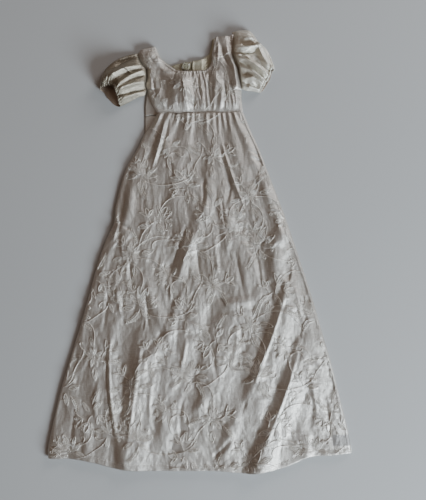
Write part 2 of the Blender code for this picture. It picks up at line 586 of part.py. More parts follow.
def bodice_backs():
    """The two halves of the bodice's back, side by side at the open centre back."""
    waist = shifted(BACK_WAIST, 0.0, SEAM_GAP / 2)
    half_gap = SEAM_GAP / 2
    strap_count = BACK_STRAP_COLUMNS
    count = BACK_STRAP_COLUMNS + BACK_NECK_COLUMNS
    rows = np.linspace(0.0, 1.0, BACK_BODICE_ROWS)
    strap_rows = np.linspace(0.0, 1.0, BACK_STRAP_ROWS)

    edge = (BACK_OPENING_X - half_gap, waist[2][1])
    neck = BACK_NECK_LEFT[:-1] + ((edge[0], BACK_NECK_LEFT[-1][1]),)
    shoulder_line = curve((BACK_SIDE_LEFT[-1], neck[0]))
    yoke = joined((shoulder_line, strap_count / count), (curve(neck), 1.0))
    sheet = patch(curve((waist[0],) + BACK_SIDE_LEFT[1:]), curve((edge, neck[-1])),
                  curve(waist[:2] + (edge,)), yoke)
    plan = Plan()
    plan.block(sheet, rows, count)
    plan.block(patch(curve(BACK_STRAP_LEFT_OUTER), curve(BACK_STRAP_LEFT_NECK),
                     shoulder_line, curve(SHOULDER_LEFT)), strap_rows, strap_count)
    plan.turned()
    plan.build("bodice_back_left", back_top, table_top)

    edge = (BACK_OPENING_X + half_gap, waist[2][1])
    neck = ((edge[0], BACK_NECK_RIGHT[0][1]),) + BACK_NECK_RIGHT[1:]
    shoulder_line = curve((neck[-1], BACK_SIDE_RIGHT[-1]))
    yoke = joined((curve(neck), BACK_NECK_COLUMNS / count), (shoulder_line, 1.0))
    sheet = patch(curve((edge, neck[0])), curve((waist[-1],) + BACK_SIDE_RIGHT[1:]),
                  curve((edge,) + waist[3:]), yoke)
    plan = Plan()
    plan.block(sheet, rows, count)
    plan.block(patch(curve(BACK_STRAP_RIGHT_NECK), curve(BACK_STRAP_RIGHT_OUTER),
                     shoulder_line, curve(BACK_SHOULDER_RIGHT)), strap_rows, strap_count)
    plan.turned()
    plan.build("bodice_back_right", back_right_top, under_back_right)


def dome(across):
    """Height across a sleeve as a share of its full height: steep at the two edges."""
    return (1 - np.abs(2 * across - 1) ** DOME_SIDES) ** DOME_CROWN


def sleeve_height(sleeve, along):
    """Height of the sleeve over its edge, from the armhole to the mouth."""
    table = np.array(sleeve.heights)
    stations = np.linspace(0.0, 1.0, len(table))
    knots = np.stack((stations, table), axis=1)
    return curve(knots)(along)[:, 1]


def sleeve_ring(sleeve, along, upper, lower, inset):
    """One ring: over the top from the upper edge to the lower, and back along the table."""
    over = (1 - np.cos(np.linspace(0.0, math.pi, SLEEVE_TOP_POINTS))) / 2
    under = (1 - np.cos(np.linspace(math.pi, 0.0, SLEEVE_FLOOR_POINTS + 2)[1:-1])) / 2
    station = np.full_like(over, along)
    edges = lower(station[:2], np.array((0.0, 1.0)))
    width = np.linalg.norm(edges[1] - edges[0])
    tuck = inset * SLEEVE_WALL / width
    plan_over = upper(station, tuck + over * (1 - 2 * tuck))
    plan_under = lower(np.full_like(under, along), tuck + under * (1 - 2 * tuck))
    height = sleeve_height(sleeve, along)[0]
    z_over = SLEEVE_EDGE_Z + (height - inset * SLEEVE_WALL) * dome(over)
    off_edges = smooth(np.minimum(over, 1 - over) / SLEEVE_EDGE_SHARE)
    z_over += off_edges * fold_rise(sleeve.folds, *plan_over.T)
    drop = SLEEVE_EDGE_Z - inset * SLEEVE_WALL
    z_under = SLEEVE_EDGE_Z - drop * np.clip(FLOOR_FLATNESS * dome(under), 0.0, 1.0)
    ring = [(x, y, z) for (x, y), z in zip(plan_over, z_over)]
    ring += [(x, y, z) for (x, y), z in zip(plan_under, z_under)]
    return ring


def build_sleeve(sleeve):
    """A puffed sleeve: an open tube that lies on the table, gathered at both ends."""
    armhole = curve(sleeve.armhole)
    edge_up = curve(sleeve.upper)
    edge_low = curve(sleeve.lower)
    upper = patch(edge_up, edge_low, armhole, curve(sleeve.mouth_front))
    lower = patch(edge_up, edge_low, armhole, curve(sleeve.mouth_back))
    stations = np.linspace(0.0, 1.0, SLEEVE_RINGS)
    points = []
    for inset in (0, 1):
        for along in stations:
            points += sleeve_ring(sleeve, along, upper, lower, inset)
    ring_size = SLEEVE_TOP_POINTS + SLEEVE_FLOOR_POINTS
    layer = ring_size * SLEEVE_RINGS
    faces = []
    for ring in range(SLEEVE_RINGS - 1):
        for i in range(ring_size):
            a = ring * ring_size + i
            b = ring * ring_size + (i + 1) % ring_size
            faces.append((a, b, b + ring_size, a + ring_size))
            faces.append((layer + a, layer + a + ring_size, layer + b + ring_size, layer + b))
    last = ring_size * (SLEEVE_RINGS - 1)
    for i in range(ring_size):
        j = (i + 1) % ring_size
        faces.append((i, layer + i, layer + j, j))
        faces.append((last + i, last + j, layer + last + j, layer + last + i))
    if sleeve is LEFT_SLEEVE:
        faces = [tuple(reversed(face)) for face in faces]
    return add_object(sleeve.name, points, faces, CREAM_SILK)


def build_snap(snap):
    """One half of the snap, turned about its own middle."""
    points = [(snap.x, snap.y, snap.floor)]
    for radius, height in snap.profile[:-1]:
        for side in range(SNAP_SIDES):
            angle = 2 * math.pi * side / SNAP_SIDES
            points.append((snap.x + radius * math.cos(angle),
                           snap.y + radius * math.sin(angle), snap.floor + height))
    points.append((snap.x, snap.y, snap.floor + snap.profile[-1][1]))
    top = len(points) - 1
    last = top - SNAP_SIDES
    faces = []
    for side in range(SNAP_SIDES):
        after = (side + 1) % SNAP_SIDES
        faces.append((0, 1 + after, 1 + side))
        for level in range(len(snap.profile) - 2):
            a = 1 + level * SNAP_SIDES
            faces.append((a + side, a + after, a + SNAP_SIDES + after, a + SNAP_SIDES + side))
        faces.append((last + side, last + after, top))
    return add_object(snap.name, points, faces, SNAP_FINISH)


def main():
    for obj in list(bpy.data.objects):
        bpy.data.objects.remove(obj, do_unlink=True)
    skirt_front()
    skirt_backs()
    bodice_front()
    bodice_backs()
    build_sleeve(LEFT_SLEEVE)
    build_sleeve(RIGHT_SLEEVE)
    build_snap(SOCKET)
    build_snap(BALL)


main()
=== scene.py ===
"""Looks of a doll's regency gown that lies flat on its back: slubbed cream silk with embroidery
in the same cream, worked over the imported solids.

Tables are in millimetres, in the solids' frame: +X to the right of someone who looks down on
the gown, +Y from the hem to the neck, +Z up from the table.
"""

import math
from collections import namedtuple

import bpy
import numpy as np
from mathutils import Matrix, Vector, bvhtree, kdtree


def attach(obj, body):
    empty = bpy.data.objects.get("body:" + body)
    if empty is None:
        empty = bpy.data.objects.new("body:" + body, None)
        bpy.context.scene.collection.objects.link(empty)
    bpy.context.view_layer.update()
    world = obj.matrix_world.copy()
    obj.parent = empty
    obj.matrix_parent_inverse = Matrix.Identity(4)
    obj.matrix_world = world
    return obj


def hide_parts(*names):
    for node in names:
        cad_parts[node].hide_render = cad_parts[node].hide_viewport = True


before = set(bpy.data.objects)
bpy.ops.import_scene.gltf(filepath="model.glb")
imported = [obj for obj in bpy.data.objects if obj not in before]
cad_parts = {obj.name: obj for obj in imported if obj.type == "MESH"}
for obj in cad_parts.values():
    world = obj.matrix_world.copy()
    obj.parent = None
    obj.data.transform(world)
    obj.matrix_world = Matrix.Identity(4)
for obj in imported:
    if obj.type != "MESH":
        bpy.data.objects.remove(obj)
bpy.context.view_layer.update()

MM = 0.001

# Cloth, in millimetres
CLOTH = 0.35
HEM_CLOTH = 0.9
HEM_DEPTH = 4.0
EDGE_CLOTH = 0.6
SEAM_GAP = 0.3
LEAST_GAP = 0.05
BACK_TOP = 0.5
FRONT_TOP = 2.3
EDGE_TOP = 0.95
EDGE_ROLL = 3.2
EDGE_EASE = 9.0
SKIRT_BILLOW = 0.7
ARMHOLE_EASE = 4.0
ARMHOLE_Y = 122.0
BODICE_FULLNESS = 1.7
WAIST_Y = 103.0
CHEST_RISE = 13.0
SHOULDER_Y = 145.0
SHOULDER_FALL = 12.0
NECK_FULLNESS = 0.2
NECK_EASE = 9.0
STRAP_EASE = 2.5
STRAP_Y = 138.0
STRAP_REACH = 9.0
NECK_SAMPLES = 161
HEM_INSET = 1.0
BACK_OPENING_X = -7.0

# Meshing: columns across and rows along each piece
SKIRT_COLUMNS = 264
SKIRT_ROWS = 330
COARSE = 3
SKIRT_BACK_COLUMNS = 70
SKIRT_BACK_ROWS = 150
BODICE_COLUMNS = (40, 104, 46)
BODICE_ROWS = 96
STRAP_ROWS = 40
BACK_STRAP_COLUMNS = 22
BACK_NECK_COLUMNS = 26
BACK_BODICE_ROWS = 56
BACK_STRAP_ROWS = 24
SLEEVE_TOP_POINTS = 150
SLEEVE_FLOOR_POINTS = 40
SLEEVE_RINGS = 120

# Outlines seen from above, x and y, the same as the solids'
SKIRT_LEFT = ((-43.6, 86.9), (-49.6, 74.2), (-56.8, 61.5), (-61.3, 48.2), (-65.8, 27.8),
              (-66.6, 16.2), (-72.9, 2.3), (-78.7, -15.3), (-84.3, -37.4), (-91.7, -65.2),
              (-98.7, -89.1), (-104.6, -109.7), (-109.3, -131.7), (-113.2, -153.4),
              (-112.9, -159.9))
SKIRT_RIGHT = ((33.3, 104.7), (38.7, 90.9), (45.6, 75.0), (53.9, 52.9), (65.2, 22.4),
               (75.5, -9.2), (85.7, -41.9), (92.5, -66.7), (99.2, -90.6), (105.4, -117.1),
               (110.6, -139.7), (113.2, -155.6))
HEM = ((-112.9, -159.9), (-92.3, -160.3), (-77.0, -163.0), (-64.1, -166.4), (-44.1, -168.2),
       (-18.2, -168.5), (15.0, -168.7), (34.9, -170.3), (46.0, -169.2), (59.4, -166.7),
       (72.0, -162.1), (79.4, -158.8), (96.5, -157.4), (113.2, -155.6))
FRONT_WAIST = ((-33.9, 103.3), (-22.2, 103.3), (-8.1, 102.9), (3.6, 103.3), (22.3, 103.7),
               (33.3, 104.8))
BACK_WAIST = ((-43.3, 101.4), (-34.7, 102.1), (-7.0, 103.0), (3.6, 103.3), (22.3, 103.7),
              (33.3, 104.8))
FRONT_ROLLED_SIDE = ((-33.9, 103.2), (-38.5, 94.1))
BACK_STRAIGHT_SIDE = ((-43.3, 101.3), (-43.4, 94.1))
FRONT_SIDE_LEFT = ((-33.9, 103.4), (-37.9, 110.1), (-39.9, 115.7), (-41.9, 122.2),
                   (-43.0, 125.6), (-42.0, 131.1), (-42.5, 138.4))
FRONT_SIDE_RIGHT = ((33.3, 105.0), (32.5, 113.3), (32.2, 123.0), (31.8, 127.0),
                    (30.7, 133.5), (29.5, 140.0))
NECK_FLOOR = ((-19.3, 137.6), (-13.8, 137.2), (-4.3, 137.5), (3.5, 138.0))
STRAP_LEFT_OUTER = ((-42.5, 138.4), (-45.3, 142.1), (-47.7, 146.5), (-49.3, 151.8))
STRAP_LEFT_NECK = ((-19.3, 137.6), (-22.4, 140.0), (-27.2, 143.3), (-31.2, 147.4),
                   (-33.6, 151.4), (-35.6, 156.8))
SHOULDER_LEFT = ((-49.3, 151.8), (-47.0, 153.9), (-41.5, 155.5), (-35.6, 156.8))
STRAP_RIGHT_NECK = ((3.5, 138.0), (6.7, 140.4), (8.7, 145.7), (9.0, 151.4), (10.2, 158.0),
                    (11.0, 164.5))
STRAP_RIGHT_OUTER = ((29.5, 140.0), (27.2, 145.7), (26.0, 149.8), (25.6, 156.3),
                     (26.0, 162.1), (26.1, 167.2))
SHOULDER_RIGHT = ((11.0, 164.5), (17.0, 165.0), (21.7, 165.4), (26.1, 167.2))
BACK_SIDE_LEFT = ((-43.3, 101.7), (-43.4, 109.3), (-42.7, 115.7), (-41.9, 122.2),
                  (-43.0, 125.6), (-42.0, 131.1), (-42.5, 138.4), (-45.3, 142.1))
BACK_SIDE_RIGHT = ((33.3, 105.1), (32.5, 113.3), (32.2, 123.0), (31.8, 127.0),
                   (30.7, 133.5), (29.5, 140.0), (27.2, 145.7), (26.0, 149.8))
BACK_NECK_LEFT = ((-23.2, 141.6), (-18.5, 143.3), (-7.0, 145.1))
BACK_NECK_RIGHT = ((-7.0, 145.1), (-0.4, 146.5), (3.5, 149.0))
BACK_STRAP_LEFT_OUTER = ((-45.3, 142.1), (-47.7, 146.5), (-49.3, 151.8))
BACK_STRAP_LEFT_NECK = ((-23.2, 141.6), (-27.2, 144.1), (-32.0, 149.0), (-35.6, 156.8))
BACK_STRAP_RIGHT_NECK = ((3.5, 149.0), (6.7, 151.8), (8.3, 156.3), (9.8, 164.4))
BACK_STRAP_RIGHT_OUTER = ((26.0, 149.8), (25.6, 156.3), (26.0, 162.1), (26.1, 167.2))
BACK_SHOULDER_RIGHT = ((9.8, 164.4), (17.0, 165.0), (21.7, 165.4), (26.1, 167.2))

# A fold is a soft ridge along a curve through three points, or a trough where its rise is
# negative. Its flank to the west, or to the right of someone who walks it from its first
# point, has a width at each end, and the other flank has one.
Fold = namedtuple("Fold", "x0 y0 x1 y1 x2 y2 west_up west_low east up middle low")

SKIRT_FOLDS = (
    Fold(66.9, -30.6, 52.8, -73.5, 36.7, -115.6, 5.0, 7.0, 17.0, 1.2, 2.6, 1.0),
    Fold(75.4, -72.7, 62.9, -114.1, 41.4, -172.0, 4.0, 12.0, 16.0, 0.8, 2.5, 4.2),
    Fold(-43.0, -69.0, -48.5, -111.2, -55.2, -169.0, 8.0, 11.0, 20.0, 0.9, 2.8, 3.2),
    Fold(-65.7, -61.5, -67.3, -106.1, -57.5, -160.0, 4.5, 5.0, 9.0, 0.5, 1.3, 1.2),
    Fold(-41.9, -30.6, -32.6, -51.0, -22.6, -68.2, 5.5, 6.5, 7.0, 0.5, 1.2, 1.0),
    Fold(-9.9, -30.6, -18.9, -54.0, -24.1, -66.7, 5.5, 5.5, 7.0, 0.5, 1.2, 0.8),
    Fold(-23.3, -70.5, -33.8, -80.9, -44.2, -93.5, 6.0, 6.0, 8.0, 0.8, 1.2, 0.7),
    Fold(2.1, 24.7, -9.3, -4.6, -19.0, -36.6, 8.0, 8.0, 10.0, 0.8, 2.0, 0.9),
    Fold(16.8, 41.9, 18.3, 14.7, 22.1, -4.6, 5.0, 5.0, 11.0, 0.7, 1.8, 0.7),
    Fold(-21.2, 73.4, -21.1, 45.8, -22.5, 24.7, 7.0, 7.0, 10.0, 0.6, 1.6, 0.6),
    Fold(5.2, 56.0, 6.0, 38.0, 2.9, 22.4, 6.0, 6.0, 8.0, 0.5, 1.4, 0.8),
    Fold(46.5, 59.2, 64.5, 26.0, 60.5, 3.1, 14.0, 14.0, 7.0, 0.9, 2.6, 1.4),
    Fold(62.5, 6.2, 57.4, -13.8, 60.2, -39.7, 9.0, 9.0, 10.0, 1.1, 2.0, 1.2),
    Fold(30.9, 97.3, 37.2, 81.3, 40.5, 63.9, 7.0, 7.0, 7.0, 0.7, 1.7, 0.7),
    Fold(-56.0, 43.0, -55.6, 27.8, -59.6, 15.4, 4.0, 4.0, 7.0, 0.8, 1.6, 0.8),
    Fold(-59.6, 13.9, -56.0, -0.8, -52.7, -13.8, 5.0, 5.0, 7.0, 0.8, 1.3, 0.5),
    Fold(-64.6, 12.3, -70.4, -4.6, -76.5, -23.7, 4.5, 4.5, 6.0, 0.7, 1.1, 0.5),
    Fold(92.0, -73.5, 96.0, -87.6, 97.5, -102.4, 4.5, 4.5, 6.0, 0.4, 0.9, 0.4),
    Fold(78.2, -142.6, 79.5, -152.0, 79.4, -162.0, 5.5, 5.5, 7.0, 0.3, 0.9, 1.1),
    Fold(5.4, -112.7, 0.1, -120.7, -3.6, -128.0, 5.5, 5.5, 7.0, 0.4, 1.1, 0.5),
    Fold(-26.0, -124.4, -26.6, -137.5, -28.7, -149.8, 7.0, 7.0, 9.0, 0.3, 1.1, 0.5),
    Fold(28.5, -120.7, 24.0, -138.9, 18.0, -154.9, 7.0, 7.0, 7.0, 0.3, 1.2, 0.6),
    Fold(-84.7, -133.9, -83.7, -146.2, -83.5, -160.0, 5.0, 5.0, 7.0, 0.3, 0.9, 0.9),
    Fold(13.6, -47.2, 28.8, -44.9, 42.5, -41.2, 5.5, 5.5, 5.5, 0.3, 0.8, 0.3),
)

# A gather is a narrow ridge that starts in the waist seam and fades where it ends
Gather = namedtuple("Gather", "x y end_x end_y half_width rise")
SKIRT_GATHERS = (
    Gather(-31.0, 102.8, -43.6, 74.2, 3.2, 1.3),
    Gather(-24.9, 102.9, -39.7, 57.6, 2.6, 1.3),
    Gather(-16.3, 102.9, -25.2, 81.3, 2.9, 1.2),
    Gather(-10.2, 102.6, -12.7, 84.5, 2.0, 0.9),
    Gather(-6.0, 102.6, -8.1, 79.3, 1.9, 1.0),
    Gather(-1.8, 102.8, -3.4, 87.7, 1.9, 0.8),
    Gather(5.2, 103.0, 4.4, 76.9, 2.8, 1.1),
    Gather(9.8, 103.1, 10.6, 86.1, 1.9, 0.9),
    Gather(13.7, 103.2, 15.3, 78.3, 1.9, 1.0),
    Gather(17.5, 103.3, 20.0, 84.7, 1.8, 0.9),
    Gather(21.4, 103.4, 24.8, 80.9, 1.9, 1.0),
    Gather(25.9, 103.8, 30.9, 86.1, 2.3, 1.0),
)
BODICE_GATHERS = (
    Gather(-33.6, 104.6, -38.1, 131.1, 3.2, 0.8),
    Gather(-27.7, 104.3, -29.4, 121.4, 2.6, 0.7),
    Gather(-19.9, 104.2, -20.8, 125.0, 3.0, 0.8),
    Gather(-11.3, 103.8, -12.6, 136.8, 3.4, 1.3),
    Gather(-6.2, 103.8, -7.4, 129.5, 2.2, 0.9),
    Gather(2.0, 104.0, -0.4, 136.8, 3.0, 1.1),
    Gather(6.3, 104.1, 4.6, 131.1, 2.0, 0.9),
    Gather(10.6, 104.2, 11.6, 136.3, 2.2, 1.1),
    Gather(15.9, 104.3, 16.9, 129.5, 2.4, 1.0),
    Gather(20.8, 104.4, 21.9, 127.8, 2.3, 1.1),
    Gather(27.4, 104.9, 24.8, 126.2, 3.0, 1.2),
)
BODICE_FOLDS = (
    Fold(-13.6, 137.0, -12.0, 121.0, -10.5, 104.5, 20.0, 20.0, 6.5, 1.6, 4.6, 2.4),
    Fold(27.5, 143.0, 29.5, 129.0, 28.5, 108.0, 10.0, 5.0, 6.0, 2.0, 3.4, 1.4),
    Fold(18.5, 165.5, 23.5, 151.0, 29.5, 138.0, 5.0, 8.0, 4.0, 0.6, 1.5, 1.2),
    Fold(11.0, 133.0, 13.5, 124.0, 14.5, 108.0, 4.5, 4.5, 6.0, 0.6, 1.8, 0.8),
    Fold(-44.5, 152.0, -38.0, 146.0, -30.0, 142.0, 5.0, 5.0, 6.0, 0.5, 1.3, 0.6),
)

# A crease is a sharp narrow ridge, or a trough where its rise is negative, through three points
Crease = namedtuple("Crease", "x0 y0 x1 y1 x2 y2 half_width rise")
SKIRT_CREASES = (
    Crease(16.1, 82.9, 24.5, 52.9, 37.5, 20.9, 2.4, 1.3),
    Crease(-27.5, 100.0, -31.0, 80.0, -38.5, 56.0, 1.9, 1.3),
    Crease(-24.6, 99.0, -28.2, 80.0, -35.0, 60.0, 2.4, -1.0),
    Crease(13.0, 84.0, 20.5, 55.0, 32.0, 24.0, 3.2, -0.8),
    Crease(-23.5, 66.9, -21.9, 57.6, -21.1, 48.3, 2.8, -0.9),
    Crease(2.9, 53.5, 2.9, 41.9, 2.1, 28.0, 3.0, -1.0),
    Crease(16.8, 40.2, 17.5, 24.7, 19.8, 9.3, 2.0, -0.9),
    Crease(23.5, 54.0, 23.0, 42.0, 20.5, 32.0, 2.2, -0.8),
    Crease(35.8, 73.0, 43.2, 71.0, 50.0, 67.6, 1.6, -0.6),
    Crease(38.1, 67.3, 44.7, 65.5, 52.2, 62.1, 1.8, -0.7),
    Crease(51.7, 27.3, 59.1, 24.0, 66.5, 24.9, 1.6, -0.5),
    Crease(-67.9, 32.2, -64.7, 22.4, -62.6, 15.0, 2.4, 1.0),
    Crease(-65.1, 18.5, -58.5, 13.9, -51.1, 10.0, 2.2, -0.9),
    Crease(-62.6, 19.0, -64.5, 9.3, -67.2, 1.1, 2.4, 0.9),
    Crease(-60.6, 6.9, -59.7, -4.6, -57.6, -16.8, 2.4, 0.8),
    Crease(-56.5, 3.8, -53.4, -18.4, -50.4, -41.1, 3.0, -1.0),
    Crease(-41.1, -29.1, -40.2, -48.7, -38.0, -68.2, 2.6, -0.9),
    Crease(-22.9, -16.9, -22.9, -31.3, -21.8, -47.2, 2.4, 0.8),
    Crease(-64.5, -21.5, -62.3, -39.7, -58.5, -59.2, 2.8, 0.8),
    Crease(-69.9, -32.1, -71.2, -50.2, -73.7, -68.2, 2.6, -0.7),
    Crease(-3.4, 2.2, -1.6, -13.8, 1.0, -30.5, 2.8, -0.8),
    Crease(11.1, 9.9, 12.1, -8.4, 14.9, -26.7, 2.8, 0.8),
    Crease(26.9, -5.4, 30.4, -23.7, 35.4, -45.7, 3.0, -0.8),
    Crease(41.5, -1.6, 44.9, -19.9, 47.6, -39.6, 2.8, -0.9),
    Crease(72.4, -32.1, 75.0, -46.5, 78.4, -62.2, 2.4, 0.7),
    Crease(-10.0, -69.7, -12.0, -83.9, -15.4, -99.5, 2.8, 0.9),
    Crease(8.6, -73.4, 10.6, -89.1, 13.3, -105.4, 2.8, -0.8),
    Crease(27.5, -62.2, 27.2, -78.7, 23.6, -95.0, 2.8, 0.8),
    Crease(-12.8, -114.1, -14.7, -131.7, -13.9, -149.2, 2.6, -0.7),
    Crease(-35.3, -103.1, -37.2, -118.5, -37.1, -134.7, 2.8, 0.7),
    Crease(60.0, -128.7, 60.3, -146.2, 58.2, -163.6, 2.6, -0.7),
    Crease(-75.8, -99.4, -77.6, -117.1, -78.0, -134.7, 2.6, 0.7),
    Crease(-92.6, -121.4, -95.0, -137.5, -96.7, -153.5, 2.6, -0.6),
    Crease(83.9, -95.7, 85.3, -113.4, 88.6, -131.0, 2.6, 0.7),
    Crease(93.9, -114.1, 96.2, -131.7, 97.8, -146.3, 2.4, -0.6),
    Crease(24.9, -143.2, 17.3, -152.7, 9.0, -159.7, 3.2, -1.0),
    Crease(66.9, -32.6, 52.8, -73.5, 37.7, -113.6, 2.0, 0.8),
    Crease(75.0, -76.7, 62.9, -114.1, 40.0, -170.0, 2.4, 0.9),
    Crease(-43.2, -72.0, -48.5, -111.2, -55.0, -166.0, 2.6, 0.8),
    Crease(-65.7, -64.5, -67.3, -106.1, -57.9, -157.0, 1.6, 0.8),
    Crease(-68.0, -64.5, -69.6, -106.1, -60.4, -157.0, 1.8, -0.9),
    Crease(2.1, 20.7, -9.3, -4.6, -18.5, -33.6, 2.8, 0.7),
    Crease(-8.0, 18.0, -18.0, -6.0, -26.5, -32.0, 3.4, -0.9),
)
BODICE_CREASES = (
    Crease(16.6, 160.0, 19.0, 147.0, 27.5, 134.5, 2.2, -1.3),
    Crease(18.0, 131.0, 20.0, 118.0, 22.0, 106.0, 1.8, -1.2),
    Crease(23.5, 127.0, 26.0, 117.0, 27.0, 106.5, 1.8, -1.2),
    Crease(-2.2, 136.5, -0.8, 122.0, 2.4, 108.0, 1.7, -1.2),
    Crease(7.0, 137.0, 6.4, 122.0, 8.2, 106.0, 1.7, -1.2),
    Crease(-14.6, 136.6, -13.0, 124.0, -9.0, 110.0, 1.8, 1.2),
    Crease(-9.0, 122.0, -7.0, 114.0, -4.0, 106.0, 1.8, -1.2),
    Crease(-37.0, 133.0, -36.0, 121.0, -32.5, 108.0, 2.2, -1.0),
    Crease(-31.5, 139.0, -27.0, 135.5, -20.0, 135.5, 1.8, 0.9),
    Crease(-41.0, 151.0, -39.0, 146.0, -35.0, 141.0, 1.8, -0.9),
    Crease(13.5, 162.0, 14.0, 152.0, 13.0, 142.0, 1.6, 0.9),
    Crease(22.0, 160.0, 22.6, 152.0, 24.5, 145.0, 1.5, -0.8),
)
LEFT_SLEEVE_CREASES = (
    Crease(-41.4, 138.9, -58.0, 135.9, -76.4, 124.8, 3.0, 1.5),
    Crease(-49.5, 147.6, -62.3, 142.3, -73.2, 131.3, 2.6, -1.4),
    Crease(-52.0, 149.0, -64.0, 145.5, -73.0, 138.0, 2.2, 0.9),
    Crease(-41.4, 136.3, -54.0, 130.3, -66.8, 118.9, 2.2, 1.3),
    Crease(-41.4, 133.9, -53.2, 127.4, -66.0, 118.9, 1.8, -1.3),
    Crease(-41.3, 127.4, -53.1, 123.4, -65.9, 116.8, 2.0, 1.3),
    Crease(-41.2, 123.0, -52.0, 119.4, -65.9, 113.8, 2.2, -1.5),
    Crease(-60.8, 136.1, -56.4, 135.3, -52.6, 131.5, 1.6, 1.0),
    Crease(-44.0, 119.5, -54.0, 115.4, -64.0, 110.5, 2.4, 0.9),
    Crease(-66.0, 134.5, -71.0, 129.0, -75.0, 122.0, 1.6, -1.0),
)
RIGHT_SLEEVE_CREASES = (
    Crease(31.3, 156.6, 38.4, 155.6, 47.1, 156.9, 2.4, -2.0),
    Crease(31.3, 160.0, 38.0, 161.2, 44.7, 159.8, 2.2, 1.4),
    Crease(26.3, 154.4, 36.4, 152.7, 48.3, 155.9, 2.0, 1.8),
    Crease(26.8, 150.2, 36.4, 149.2, 44.3, 152.1, 1.8, -1.8),
    Crease(26.8, 145.6, 31.7, 148.0, 39.8, 145.2, 2.0, 1.8),
    Crease(29.3, 147.4, 43.2, 137.9, 56.1, 128.6, 2.0, 2.0),
    Crease(30.7, 143.9, 41.8, 135.5, 54.9, 125.8, 1.7, -1.8),
    Crease(31.0, 139.3, 42.2, 132.2, 53.1, 124.5, 2.0, 1.8),
    Crease(32.0, 134.0, 42.0, 130.2, 51.0, 123.6, 1.7, -1.7),
    Crease(32.2, 128.6, 42.1, 128.2, 51.0, 122.8, 2.0, 1.5),
    Crease(31.9, 124.2, 38.6, 122.4, 48.1, 120.5, 1.8, 1.2),
    Crease(45.4, 156.8, 47.8, 146.5, 55.2, 136.3, 2.6, 1.6),
    Crease(30.0, 151.5, 34.0, 150.2, 41.0, 152.4, 1.6, 1.5),
    Crease(29.5, 149.2, 38.0, 143.6, 47.0, 139.6, 1.5, -1.6),
    Crease(34.0, 146.4, 44.0, 140.2, 54.0, 133.4, 1.6, 1.5),
    Crease(38.0, 149.6, 46.0, 146.0, 52.0, 139.0, 1.6, -1.3),
    Crease(33.0, 137.4, 42.0, 134.8, 51.5, 128.0, 1.5, -1.4),
    Crease(34.0, 126.4, 40.0, 125.0, 47.0, 121.6, 1.4, -1.2),
    Crease(28.0, 165.0, 36.0, 164.8, 42.0, 162.5, 2.0, -1.2),
)

Sleeve = namedtuple("Sleeve", "name armhole upper lower mouth_front mouth_back heights folds "
                    "creases turn seed")
LEFT_SLEEVE = Sleeve(
    name="sleeve_left",
    armhole=((-49.7, 151.7), (-48.1, 146.4), (-45.7, 141.9), (-42.9, 138.3), (-42.4, 131.1),
             (-43.4, 125.6), (-42.3, 122.0)),
    upper=((-49.7, 151.7), (-56.4, 150.2), (-63.5, 147.8), (-71.3, 142.5), (-75.9, 136.8),
           (-78.5, 129.5), (-79.2, 122.2)),
    lower=((-42.3, 122.0), (-43.7, 117.6), (-48.9, 115.7), (-56.7, 111.3), (-63.3, 108.1)),
    mouth_front=((-79.2, 122.2), (-74.9, 123.0), (-69.3, 123.2), (-66.7, 121.0),
                 (-65.8, 117.3), (-64.5, 112.5), (-63.3, 108.1)),
    mouth_back=((-79.2, 122.2), (-75.6, 119.6), (-73.2, 115.7), (-70.8, 113.3),
                (-67.6, 110.1), (-63.3, 108.1)),
    heights=(2.2, 5.2, 7.2, 7.4, 5.8),
    folds=(Fold(-41.5, 142.0, -58.0, 137.0, -74.0, 127.5, 10.0, 7.0, 4.2, 1.4, 3.0, 1.6),
           Fold(-47.5, 147.5, -60.0, 144.0, -73.0, 134.0, 3.0, 3.0, 3.0, -0.2, -1.0, -0.5),
           Fold(-41.0, 137.2, -54.0, 131.0, -66.0, 121.0, 3.6, 3.2, 3.2, 1.3, 2.0, 1.5),
           Fold(-41.0, 128.6, -53.1, 124.4, -66.0, 118.4, 5.5, 3.8, 3.4, 1.3, 2.7, 1.7),
           Fold(-43.0, 119.6, -54.0, 115.6, -65.0, 111.0, 3.5, 3.5, 5.0, 0.6, 1.5, 1.0)),
    creases=LEFT_SLEEVE_CREASES, turn=-1, seed=31)

